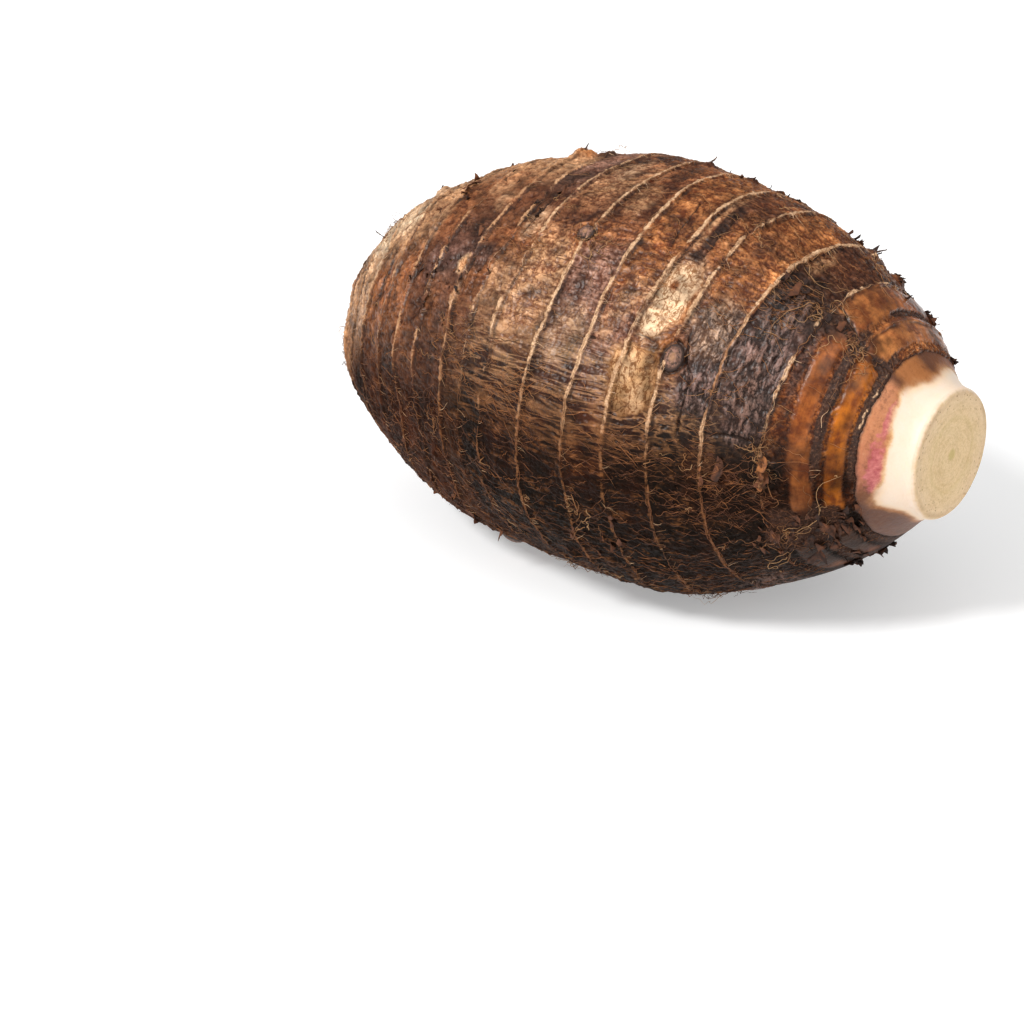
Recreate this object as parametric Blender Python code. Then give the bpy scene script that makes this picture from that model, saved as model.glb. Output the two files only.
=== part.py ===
"""A whole taro corm lying on its side: a barrel ringed with leaf scars, with side buds and a cut neck.

Metres, +Z up. +X runs along the corm to the cut neck. The origin is the bottom centre of its box.
Angles round the corm are 0 at the top and grow towards -Y.
"""

import math

import bmesh
import bpy
import numpy as np
from mathutils import Vector

# Driving dimensions of the barrel. A station is a share of the length, 0 at the rear tip and 1 at the cut.
LENGTH = 0.206
GIRTH_RADIUS = 0.0602
GIRTH_STATION = 0.544
REAR_FULLNESS = 0.5455
SHOULDER_POWER = 2.3
SHOULDER_FULLNESS = 0.852
SHOULDER_END = 1.029
REAR_DROOP = 0.0072
DROOP_START = 0.45

# The peeled neck is a short cone that blends into the shoulder.
NECK_START = 0.93
NECK_RADIUS = 0.0207
CUT_RADIUS = 0.01845
NECK_BLEND = 0.005
NECK_REACH = 0.8
RIM_ROUNDING = 0.0009
NECK_SMOOTH = 0.985
NECK_FADE = 0.05

# Leaf scars: each is a low collar whose free edge faces the neck.
SCARS = (
    0.032, 0.066, 0.103, 0.145, 0.19, 0.238, 0.29, 0.345,
    0.385, 0.432, 0.507, 0.582, 0.645, 0.709, 0.775, 0.842, 0.897, 0.936,
)
SCAR_TILT = 0.006
SCAR_TILT_AT = -0.6
SCAR_SWAY = 0.0028
SCAR_TURN = 2.4
COLLAR_HEIGHT = 0.0009
COLLAR_REACH = 0.006
COLLAR_DROP = 0.0008

# Side buds: station, angle in degrees, half width and height. BUD_ROUNDING sets how the dome meets the skin.
BUDS = (
    (0.703, 58, 0.0052, 0.0022),
    (0.512, 31, 0.0042, 0.0015),
    (0.378, 152, 0.0048, 0.0018),
    (0.592, -78, 0.0052, 0.0021),
    (0.441, -118, 0.0045, 0.0018),
    (0.652, 178, 0.005, 0.0017),
    (0.785, -42, 0.0045, 0.0018),
    (0.3, -36, 0.0042, 0.0015),
)

BUD_ROUNDING = 1.5

# Slow unevenness: height, waves round the corm, turn along its length and phase.
LUMPS = (
    (0.0011, 2, 6.0, 0.4),
    (0.0009, 3, -10.0, 1.9),
    (0.0006, 5, 15.0, 4.0),
    (0.0004, 8, -21.0, 2.2),
)

# The corm lies on a small worn flat. The unevenness dies away round it, within these angles from the bottom.
REST_DEPTH = 0.002
BELLY_CALM = 16
BELLY_EDGE = 38

# How finely the surface is divided.
AROUND = 48
STATIONS_PER_BAND = 3
REAR_STATIONS = (0.004, 0.015)
CUT_RINGS = 3
SLOPE_STEP = 0.002
SHARP_ANGLE = 40

SKIN_COLOUR = (0.16, 0.075, 0.033, 1.0)
SKIN_ROUGHNESS = 0.72


def clear_scene():
    for obj in list(bpy.data.objects):
        bpy.data.objects.remove(obj)


def smooth_larger(a, b, blend):
    """The larger of two lengths, rounded where they cross and equal to one of them far from there."""
    gap = np.abs(a - b)
    return np.maximum(a, b) + np.maximum(blend - gap, 0) ** 2 / (4 * blend)


def barrel_radius(s):
    """A blunt dome up to the girth, a longer shoulder after it, and the neck's cone where that is wider."""
    behind = np.clip(1 - s / GIRTH_STATION, 0, 1)
    rear = GIRTH_RADIUS * (1 - behind**2) ** REAR_FULLNESS
    ahead = np.clip((s - GIRTH_STATION) / (SHOULDER_END - GIRTH_STATION), 0, 1)
    shoulder = GIRTH_RADIUS * (1 - ahead**SHOULDER_POWER) ** SHOULDER_FULLNESS
    body = np.where(s < GIRTH_STATION, rear, shoulder)
    along_neck = np.clip((s - NECK_START) / (1 - NECK_START), 0, 1)
    neck = NECK_RADIUS + (CUT_RADIUS - NECK_RADIUS) * along_neck
    return np.where(s > NECK_REACH, smooth_larger(body, neck, NECK_BLEND), body)


def bulge(s):
    """0 at both ends of the corm and 1 half way along it."""
    return np.sin(math.pi * np.clip(s, 0, 1)) ** 0.5

def centre_drop(s):
    """How far the centre line sags towards the rear tip."""
    share = np.clip(DROOP_START - s, 0, 1) / DROOP_START
    return -REAR_DROOP * share**2


def scar_station(index, angle):
    """A scar is a slightly tilted ring, and each sways to its own side."""
    tilt = SCAR_TILT * np.cos(angle - SCAR_TILT_AT)
    sway = SCAR_SWAY * np.sin(2 * angle + SCAR_TURN * index)
    return SCARS[index] + (tilt + sway) * bulge(SCARS[index])


def surface_step(s):
    """Length along the skin for each unit of station, from the slope of the barrel."""
    slope = (barrel_radius(s + SLOPE_STEP) - barrel_radius(s - SLOPE_STEP)) / (2 * SLOPE_STEP)
    return np.hypot(LENGTH, slope)


def collar_height(s, angle):
    """Behind each scar the skin rises to the collar's edge, and drops again just past it."""
    height = 0.0
    for index in range(len(SCARS)):
        past = (s - scar_station(index, angle)) * surface_step(s)
        rise = np.clip(1 + past / COLLAR_REACH, 0, 1) ** 2
        drop = np.clip(1 - past / COLLAR_DROP, 0, 1)
        height = np.maximum(height, COLLAR_HEIGHT * rise * drop)
    return height


def lump_height(s, angle):
    total = 0.0
    for height, waves, turn, phase in LUMPS:
        total = total + height * np.sin(waves * angle + turn * s + phase)
    return total * bulge(s)


def bud_height(s, angle, radius):
    """Each bud is a low dome on the skin."""
    total = 0.0
    for station, degrees, half_width, height in BUDS:
        turn = (angle - math.radians(degrees) + math.pi) % (2 * math.pi) - math.pi
        away = np.hypot((s - station) * surface_step(s), turn * radius) / half_width
        total = total + height * np.clip(1 - away**2, 0, 1) ** BUD_ROUNDING
    return total


def belly_fade(angle):
    """None of the unevenness at the bottom, and all of it past the belly's edge."""
    from_bottom = np.degrees(np.abs(angle - math.pi))
    share = np.clip((from_bottom - BELLY_CALM) / (BELLY_EDGE - BELLY_CALM), 0, 1)
    return share**2 * (3 - 2 * share)

def skin_radius(s, angle):
    """The whole radius, with the unevenness faded out over the neck and round the belly."""
    radius = barrel_radius(s)
    fade = np.clip((NECK_SMOOTH - s) / NECK_FADE, 0, 1) * belly_fade(angle)
    return radius + fade * (
        lump_height(s, angle) + collar_height(s, angle) + bud_height(s, angle, radius)
    )


def stations():
    """Where the rings of vertices lie: at each scar, just past it, and evenly over the band behind it."""
    found = list(REAR_STATIONS)
    start = REAR_STATIONS[-1]
    for scar in SCARS:
        past = scar + COLLAR_DROP / LENGTH
        found += [start + (scar - start) * k / STATIONS_PER_BAND for k in range(1, STATIONS_PER_BAND + 1)]
        found.append(past)
        start = past
    end = 1 - RIM_ROUNDING / LENGTH
    found += [start + (end - start) * k / STATIONS_PER_BAND for k in range(1, STATIONS_PER_BAND + 1)]
    return found


def scar_shift(s, angle):
    """The tilt and sway of the scars, read between them, so that each ring of points follows its scar."""
    offsets = [scar_station(k, angle) - SCARS[k] for k in range(len(SCARS))]
    straight = np.zeros(AROUND)
    offsets = np.array([straight, *offsets, straight])
    places = np.array([0.0, *SCARS, 1.0])
    return np.array([np.interp(s, places, offsets[:, k]) for k in range(AROUND)])


def ring_points(s):
    """One ring of points round the corm, at its station."""
    angle = np.arange(AROUND) * 2 * math.pi / AROUND
    shifted = s + scar_shift(s, angle)
    radius = skin_radius(shifted, angle)
    x = (shifted - 0.5) * LENGTH
    y = -radius * np.sin(angle)
    z = radius * np.cos(angle) + centre_drop(shifted)
    return np.stack([np.broadcast_to(x, angle.shape), y, z], axis=1)


def cut_face_rings():
    """The rim's rounding and the flat cut, as radii that shrink towards the middle."""
    radii = [CUT_RADIUS - RIM_ROUNDING]
    radii += [CUT_RADIUS * (CUT_RINGS - k) / (CUT_RINGS + 1) for k in range(CUT_RINGS)]
    angle = np.arange(AROUND) * 2 * math.pi / AROUND
    for radius in radii:
        x = np.full(AROUND, LENGTH / 2)
        yield np.stack([x, -radius * np.sin(angle), radius * np.cos(angle)], axis=1)


def close_end(mesh, ring, point, reverse):
    """A fan of triangles from a ring to the point at its middle."""
    tip = mesh.verts.new(point)
    for k in range(AROUND):
        corners = [ring[k], ring[(k + 1) % AROUND], tip]
        mesh.faces.new(corners[::-1] if reverse else corners)


def flatten_base(mesh):
    """Cuts the lowest sliver off level, which leaves the flat face that the corm lies on."""
    lowest = min(v.co.z for v in mesh.verts)
    geometry = mesh.verts[:] + mesh.edges[:] + mesh.faces[:]
    bmesh.ops.bisect_plane(
        mesh,
        geom=geometry,
        plane_co=(0, 0, lowest + REST_DEPTH),
        plane_no=(0, 0, -1),
        clear_outer=True,
    )
    rim = [edge for edge in mesh.edges if edge.is_boundary]
    bmesh.ops.holes_fill(mesh, edges=rim, sides=0)


def move_to_origin(mesh):
    """Puts the bottom centre of the box at the origin."""
    points = np.array([v.co for v in mesh.verts])
    low, high = points.min(axis=0), points.max(axis=0)
    middle = (low + high) / 2
    bmesh.ops.translate(mesh, verts=mesh.verts, vec=Vector((-middle[0], -middle[1], -low[2])))


def skin_material():
    material = bpy.data.materials.new("taro_skin")
    material.use_nodes = True
    shader = material.node_tree.nodes["Principled BSDF"]
    shader.inputs["Base Color"].default_value = SKIN_COLOUR
    shader.inputs["Roughness"].default_value = SKIN_ROUGHNESS
    shader.inputs["Metallic"].default_value = 0.0
    return material


def make_corm():
    """The corm is one closed body: rings of points joined from the rear tip to the middle of the cut."""
    mesh = bmesh.new()
    rings = [ring_points(s) for s in stations()] + list(cut_face_rings())
    rings = [[mesh.verts.new(point) for point in ring] for ring in rings]
    for ring, following in zip(rings, rings[1:]):
        for k in range(AROUND):
            after = (k + 1) % AROUND
            mesh.faces.new((ring[k], ring[after], following[after], following[k]))
    close_end(mesh, rings[0], (-LENGTH / 2, 0, centre_drop(0.0)), reverse=True)
    close_end(mesh, rings[-1], (LENGTH / 2, 0, 0), reverse=False)
    bmesh.ops.recalc_face_normals(mesh, faces=mesh.faces)
    flatten_base(mesh)
    move_to_origin(mesh)
    data = bpy.data.meshes.new("corm")
    mesh.to_mesh(data)
    mesh.free()
    data.shade_smooth()
    data.set_sharp_from_angle(angle=math.radians(SHARP_ANGLE))
    data.materials.append(skin_material())
    corm = bpy.data.objects.new("corm", data)
    bpy.context.scene.collection.objects.link(corm)
    return corm


def main():
    clear_scene()
    make_corm()


main()
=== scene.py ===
"""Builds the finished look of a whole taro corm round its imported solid.

Metres, +Z up. +X runs along the corm to its cut neck. A place on the skin is given by its run, the distance
along the outline from the rear tip, and its turn, the angle round the corm, which is 0 at the top and grows
towards -Y.
"""

import itertools
import math

import bpy
import numpy as np
from bpy.props import FloatProperty, FloatVectorProperty, IntProperty, PointerProperty
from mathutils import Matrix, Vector


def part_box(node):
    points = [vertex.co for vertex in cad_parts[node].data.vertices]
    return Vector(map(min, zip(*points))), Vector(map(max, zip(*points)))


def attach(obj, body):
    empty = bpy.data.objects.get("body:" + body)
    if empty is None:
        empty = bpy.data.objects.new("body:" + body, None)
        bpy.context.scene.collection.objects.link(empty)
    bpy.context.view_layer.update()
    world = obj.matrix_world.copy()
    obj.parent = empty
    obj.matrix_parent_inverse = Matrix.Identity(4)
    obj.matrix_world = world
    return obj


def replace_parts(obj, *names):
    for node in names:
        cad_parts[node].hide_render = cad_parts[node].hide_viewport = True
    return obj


bl_info = {
    "name": "Taro Corm",
    "version": (1, 0, 0),
    "blender": (4, 5, 0),
    "location": "View3D > Sidebar > Taro",
    "description": "Builds the skin, neck, buds, fibres and root threads of a taro corm, and its stage",
    "category": "Add Mesh",
}

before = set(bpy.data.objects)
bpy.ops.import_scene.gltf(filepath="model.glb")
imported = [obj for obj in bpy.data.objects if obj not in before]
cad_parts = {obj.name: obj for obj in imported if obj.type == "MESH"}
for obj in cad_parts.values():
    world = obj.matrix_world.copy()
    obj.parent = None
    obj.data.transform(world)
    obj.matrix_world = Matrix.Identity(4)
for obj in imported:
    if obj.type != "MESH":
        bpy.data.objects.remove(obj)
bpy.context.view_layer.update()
LOW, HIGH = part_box("corm")
LENGTH = HIGH.x - LOW.x
MM = 0.001

# The outline of the barrel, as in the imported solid. A station is a share of the length from the rear tip.
GIRTH_RADIUS = 0.2922 * LENGTH
GIRTH_STATION = 0.544
REAR_FULLNESS = 0.5455
SHOULDER_POWER = 2.3
SHOULDER_FULLNESS = 0.852
SHOULDER_END = 1.029
REAR_DROOP = 0.035 * LENGTH
DROOP_START = 0.45
NECK_START = 0.93
NECK_RADIUS = 0.1005 * LENGTH
CUT_RADIUS = 0.0896 * LENGTH
NECK_BLEND = 0.0243 * LENGTH
NECK_REACH = 0.8
RIM_ROUNDING = 1.1 * MM

# Slow unevenness: height, waves round the corm, turn along its length and phase.
LUMPS = (
    (1.1 * MM, 2, 6.0, 0.4),
    (0.9 * MM, 3, -10.0, 1.9),
    (0.6 * MM, 5, 15.0, 4.0),
    (0.4 * MM, 8, -21.0, 2.2),
)

# Leaf scars: station, how far each dips back on the -Y side as a share of the length, collar height in mm,
# and how unbroken its pale line is.
SCARS = np.array(
    (
        (0.032, 0.001, 0.3, 0.05), (0.066, 0.001, 0.35, 0.1), (0.103, 0.002, 0.4, 0.25),
        (0.147, 0.002, 0.45, 0.4), (0.2, 0.002, 0.5, 0.3), (0.248, 0.001, 0.5, 0.6),
        (0.296, 0.002, 0.4, 0.35), (0.357, 0.002, 0.55, 0.6), (0.398, 0.003, 0.3, 0.3),
        (0.4497, 0.012, 0.4, 0.55), (0.528, 0.0168, 0.5, 0.95), (0.594, 0.008, 0.5, 0.9),
        (0.667, 0.023, 0.45, 0.7), (0.724, 0.02, 0.55, 0.8), (0.795, 0.025, 0.5, 0.8),
        (0.859, 0.021, 0.5, 0.45), (0.905, 0.012, 0.4, 0.12), (0.9375, 0.007, 0.35, 0.12),
    )
)
# The middle of the scars' dip, in degrees, and how far it reaches round.
DIP_TURN = 80
DIP_REACH = math.radians(60)

# The drums of skin, from the rear: name, the scar at which it ends, rows and columns.
DRUMS = (
    ("skin_rear", 4, 172, 552), ("skin_waist", 7, 105, 900), ("skin_middle", 10, 105, 900),
    ("skin_girth", 12, 100, 940), ("skin_front", 14, 100, 940), ("skin_shoulder", 17, 130, 720),
)
# Each drum starts in a scar's ditch, this far past the scar, and is tucked this far under its neighbours.
INTO_DITCH = 0.6 * MM
TUCK = 0.9 * MM


def station_radius(s):
    """A blunt dome to the girth, a longer shoulder after it, and the neck's cone where that is wider."""
    behind = np.clip(1 - s / GIRTH_STATION, 0, 1)
    rear = GIRTH_RADIUS * (1 - behind**2) ** REAR_FULLNESS
    ahead = np.clip((s - GIRTH_STATION) / (SHOULDER_END - GIRTH_STATION), 0, 1)
    shoulder = GIRTH_RADIUS * (1 - ahead**SHOULDER_POWER) ** SHOULDER_FULLNESS
    body = np.where(s < GIRTH_STATION, rear, shoulder)
    along_neck = np.clip((s - NECK_START) / (1 - NECK_START), 0, 1)
    neck = NECK_RADIUS + (CUT_RADIUS - NECK_RADIUS) * along_neck
    gap = np.maximum(NECK_BLEND - np.abs(body - neck), 0)
    blended = np.maximum(body, neck) + gap**2 / (4 * NECK_BLEND)
    return np.where(s > NECK_REACH, blended, body)


class Outline:
    """The profile from the rear tip over the barrel, round the cut's rim and in to the cut's middle."""

    def __init__(self):
        stations = np.linspace(0, 1, 6001) ** 2 * (1 - RIM_ROUNDING / LENGTH)
        bend = np.linspace(0, math.pi / 2, 40)[1:]
        face = np.linspace(CUT_RADIUS - RIM_ROUNDING, 0, 400)[1:]
        rim_x = LENGTH / 2 - RIM_ROUNDING * (1 - np.sin(bend))
        rim_radius = CUT_RADIUS - RIM_ROUNDING * (1 - np.cos(bend))
        self.x = np.concatenate([(stations - 0.5) * LENGTH, rim_x, np.full(len(face), LENGTH / 2)])
        self.radius = np.concatenate([station_radius(stations), rim_radius, face])
        steps = np.hypot(np.diff(self.x), np.diff(self.radius))
        self.run = np.concatenate([[0], np.cumsum(steps)])
        self.slope_x = np.gradient(self.x, self.run)
        self.slope_radius = np.gradient(self.radius, self.run)
        self.end = self.run[-1]
        self.rim = np.interp(LENGTH / 2 - RIM_ROUNDING, self.x, self.run)

    def at(self, run, values):
        return np.interp(run, self.run, values)

    def of_station(self, s):
        return np.interp((s - 0.5) * LENGTH, self.x[: -400], self.run[: -400])


def cut_middle():
    """The middle of the flat cut, from the box of the solid's points that lie furthest along +X."""
    points = np.array([v.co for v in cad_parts["corm"].data.vertices])
    cut = points[points[:, 0] > HIGH.x - 0.01 * MM]
    return (cut.min(axis=0) + cut.max(axis=0)) / 2


OUTLINE = Outline()
AXIS = cut_middle()


def place(run, turn, height):
    """A point at each run and turn, raised along the outline's normal by the height, and never under the
    floor."""
    run, turn, height = np.broadcast_arrays(run, turn, height)
    x = OUTLINE.at(run, OUTLINE.x)
    radius = OUTLINE.at(run, OUTLINE.radius) + height * OUTLINE.at(run, OUTLINE.slope_x)
    droop = np.clip(DROOP_START - (x / LENGTH + 0.5), 0, 1) / DROOP_START
    x = x - height * OUTLINE.at(run, OUTLINE.slope_radius)
    y = AXIS[1] - radius * np.sin(turn)
    z = AXIS[2] + radius * np.cos(turn) - REAR_DROOP * droop**2
    return np.stack([x, y, np.maximum(z, LOW.z)], axis=-1)


def wrapped(run, turn):
    """Skin coordinates for noise, in metres: the run, and the place on the ring of that radius. They have
    no seam."""
    radius = OUTLINE.at(run, OUTLINE.radius)
    run, turn, radius = np.broadcast_arrays(run, turn, radius)
    return np.stack([run, radius * np.cos(turn), radius * np.sin(turn)], axis=-1)


def scrambled(cell, seed):
    """A scrambled whole number for each lattice cell: its indices times large odd numbers, shifted and
    multiplied."""
    cell = cell.astype(np.int64).astype(np.uint32)
    bits = cell[..., 0] * np.uint32(374761393) + cell[..., 1] * np.uint32(668265263)
    bits = bits + cell[..., 2] * np.uint32(2246822519) + np.uint32(seed * 97 + 11)
    bits = (bits ^ (bits >> np.uint32(15))) * np.uint32(2246822519)
    bits = (bits ^ (bits >> np.uint32(13))) * np.uint32(3266489917)
    return bits ^ (bits >> np.uint32(16))


def parts_of(bits):
    """Three numbers from -1 to 1 from each scrambled number."""
    return [((bits >> np.uint32(shift)) & np.uint32(1023)) / 511.5 - 1 for shift in (0, 10, 20)]


def ripple(points, size, seed=0):
    """Smooth noise from -1 to 1. Each lattice corner's direction is dotted with the way to the point, and
    the eight are blended by 6t^5 - 15t^4 + 10t^3. The size is one lattice step, or one for each axis."""
    points = points / np.asarray(size)
    base = np.floor(points)
    inside = points - base
    blend = inside**3 * (inside * (inside * 6 - 15) + 10)
    total = 0.0
    for corner in itertools.product((0, 1), repeat=3):
        slopes = parts_of(scrambled(base + corner, seed))
        share = 1.0
        slope = 0.0
        for axis in range(3):
            share = share * (blend[..., axis] if corner[axis] else 1 - blend[..., axis])
            slope = slope + slopes[axis] * (inside[..., axis] - corner[axis])
        total = total + slope * share
    return np.clip(total * 1.25, -1, 1)


def layered(points, size, layers, seed=0):
    """Noise in layers, each half as large and half as strong as the one before."""
    size = np.asarray(size)
    total = sum(ripple(points, size / 2**k, seed + 5 * k) / 2**k for k in range(layers))
    return total / (2 - 0.5 ** (layers - 1))


def valleys(points, size, seed, steepness):
    """0 along the lines where smooth noise is 0, rising with the steepness to 1 away from them."""
    return np.clip(np.abs(ripple(points, size, seed)) * steepness, 0, 1)


def pitch(along, around):
    """The lattice steps of noise that is drawn out, from mm along the corm and mm round it."""
    return np.array((along, around, around)) * MM


def ease(low, high, value):
    """0 below low, 1 above high, and 3t^2 - 2t^3 between them. High may be the smaller of the two."""
    share = np.clip((value - low) / (high - low), 0, 1)
    return share * share * (3 - 2 * share)


def around_from(turn, degrees):
    """The angle from a turn given in degrees, the short way round."""
    return (turn - math.radians(degrees) + math.pi) % (2 * math.pi) - math.pi


def off_top(turn):
    """How many degrees a turn lies from the top, to either side."""
    return np.degrees(np.abs(around_from(turn, 0)))


def spot(run, turn, station, degrees, along, across, corner=2.0):
    """1 in the middle of a spot and falling through 0.5 at its edge, |x/along|^c + |y/across|^c = 1, in
    mm."""
    radius = OUTLINE.at(run, OUTLINE.radius)
    x = (run - OUTLINE.of_station(station)) / (along * MM)
    y = around_from(turn, degrees) * radius / (across * MM)
    return 1.5 - (np.abs(x) ** corner + np.abs(y) ** corner) ** (1 / corner)


def scar_runs(turn):
    """The run of each scar at each turn: its station, less a dip d exp(-(t/w)^2) on one side, and a fine
    waver."""
    dip = np.exp(-((around_from(turn, DIP_TURN) / DIP_REACH) ** 2))
    ring = np.stack([np.cos(turn), np.sin(turn)], axis=-1) * GIRTH_RADIUS
    found = []
    for k, (station, depth, _, _) in enumerate(SCARS):
        places = np.concatenate([np.full(turn.shape + (1,), k * 0.37), ring], axis=-1)
        waver = 0.7 * ripple(places, 11 * MM, 31) + 0.3 * ripple(places, 3.1 * MM, 32)
        waver = waver + 0.14 * ripple(places, 1.2 * MM, 33)
        found.append(OUTLINE.of_station(station - depth * dip) + waver * MM)
    return np.array(found)


def bands(run, turn):
    """How far past the last scar and short of the next one each place is, and the next scar's number."""
    scars = scar_runs(turn)
    past = run - (scars[:, None, :] if run.ndim > turn.ndim else scars)
    behind = np.where(past >= 0, past, 1.0).min(axis=0)
    ahead = np.where(past < 0, -past, 1.0).min(axis=0)
    return behind, ahead, (past >= 0).sum(axis=0)


# The colour of each band between two scars, as stops of degrees and a colour's name, read round the corm.
# The black stops low on the -Y side, from about 80 to 120 degrees, are dark skin with painted shade.
BAND_TONES = (
    ((-90, "tan"), (0, "straw"), (35, "straw"), (60, "straw"), (120, "tan")),
    ((-90, "tan"), (0, "straw"), (32, "dry"), (48, "straw"), (150, "tan")),
    ((-120, "tan"), (0, "dry"), (35, "dry"), (50, "straw"), (150, "brown")),
    ((-120, "brown"), (-30, "straw"), (0, "cream"), (35, "cream"), (50, "dry"), (100, "umber")),
    (
        (-150, "brown"), (-60, "tan"), (0, "dry"), (15, "dry"), (28, "cream"), (38, "straw"), (50, "brown"),
        (100, "brown"),
    ),
    (
        (-140, "umber"), (-40, "brown"), (0, "dry"), (12, "straw"), (28, "tan"), (45, "brown"), (70, "brown"),
        (110, "umber"),
    ),
    (
        (-150, "tan"), (-60, "brown"), (0, "tan"), (14, "brown"), (30, "brown"), (42, "umber"), (60, "umber"),
        (75, "brown"), (120, "brown"),
    ),
    (
        (-120, "umber"), (-30, "brown"), (0, "straw"), (14, "brown"), (30, "umber"), (48, "plum"),
        (60, "brown"), (75, "umber"), (130, "brown"),
    ),
    (
        (-150, "brown"), (-60, "grey"), (0, "straw"), (15, "umber"), (35, "brown"), (50, "brown"),
        (60, "umber"), (75, "umber"), (140, "tan"),
    ),
    (
        (-130, "umber"), (-40, "brown"), (-5, "grey"), (18, "umber"), (38, "brown"), (52, "tan"),
        (66, "umber"), (100, "black"), (150, "brown"),
    ),
    (
        (-150, "brown"), (-70, "tan"), (-12, "brown"), (8, "tan"), (26, "brown"), (40, "straw"), (62, "tan"),
        (86, "brown"), (110, "black"), (150, "umber"),
    ),
    (
        (-140, "plum"), (-50, "brown"), (0, "brown"), (26, "brown"), (36, "grey"), (72, "grey"), (84, "gold"),
        (95, "umber"), (115, "black"), (155, "brown"),
    ),
    (
        (-150, "umber"), (-80, "grey"), (-20, "gold"), (42, "gold"), (52, "grey"), (70, "grey"), (80, "gold"),
        (94, "brown"), (112, "black"), (150, "umber"),
    ),
    (
        (-150, "gold"), (-60, "umber"), (-8, "brown"), (4, "umber"), (28, "umber"), (50, "brown"),
        (78, "umber"), (100, "umber"), (120, "black"), (160, "brown"),
    ),
    (
        (-130, "brown"), (-50, "plum"), (-12, "gold"), (36, "gold"), (46, "plum"), (72, "plum"),
        (82, "black"), (104, "plum"), (150, "umber"),
    ),
    (
        (-140, "umber"), (-60, "brown"), (-10, "umber"), (8, "umber"), (22, "black"), (46, "plum"),
        (78, "plum"), (88, "umber"), (112, "black"), (150, "umber"),
    ),
    (
        (-150, "red"), (-60, "umber"), (-20, "orange"), (18, "gold"), (27, "plum"), (33, "orange"),
        (72, "orange"), (84, "red"), (100, "red"), (112, "black"), (150, "black"), (170, "red"),
    ),
    (
        (-150, "amber"), (-60, "red"), (-20, "gold"), (22, "gold"), (30, "amber"), (104, "amber"),
        (116, "black"), (150, "black"), (170, "red"),
    ),
    ((-180, "red"), (180, "red")),
)
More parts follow.
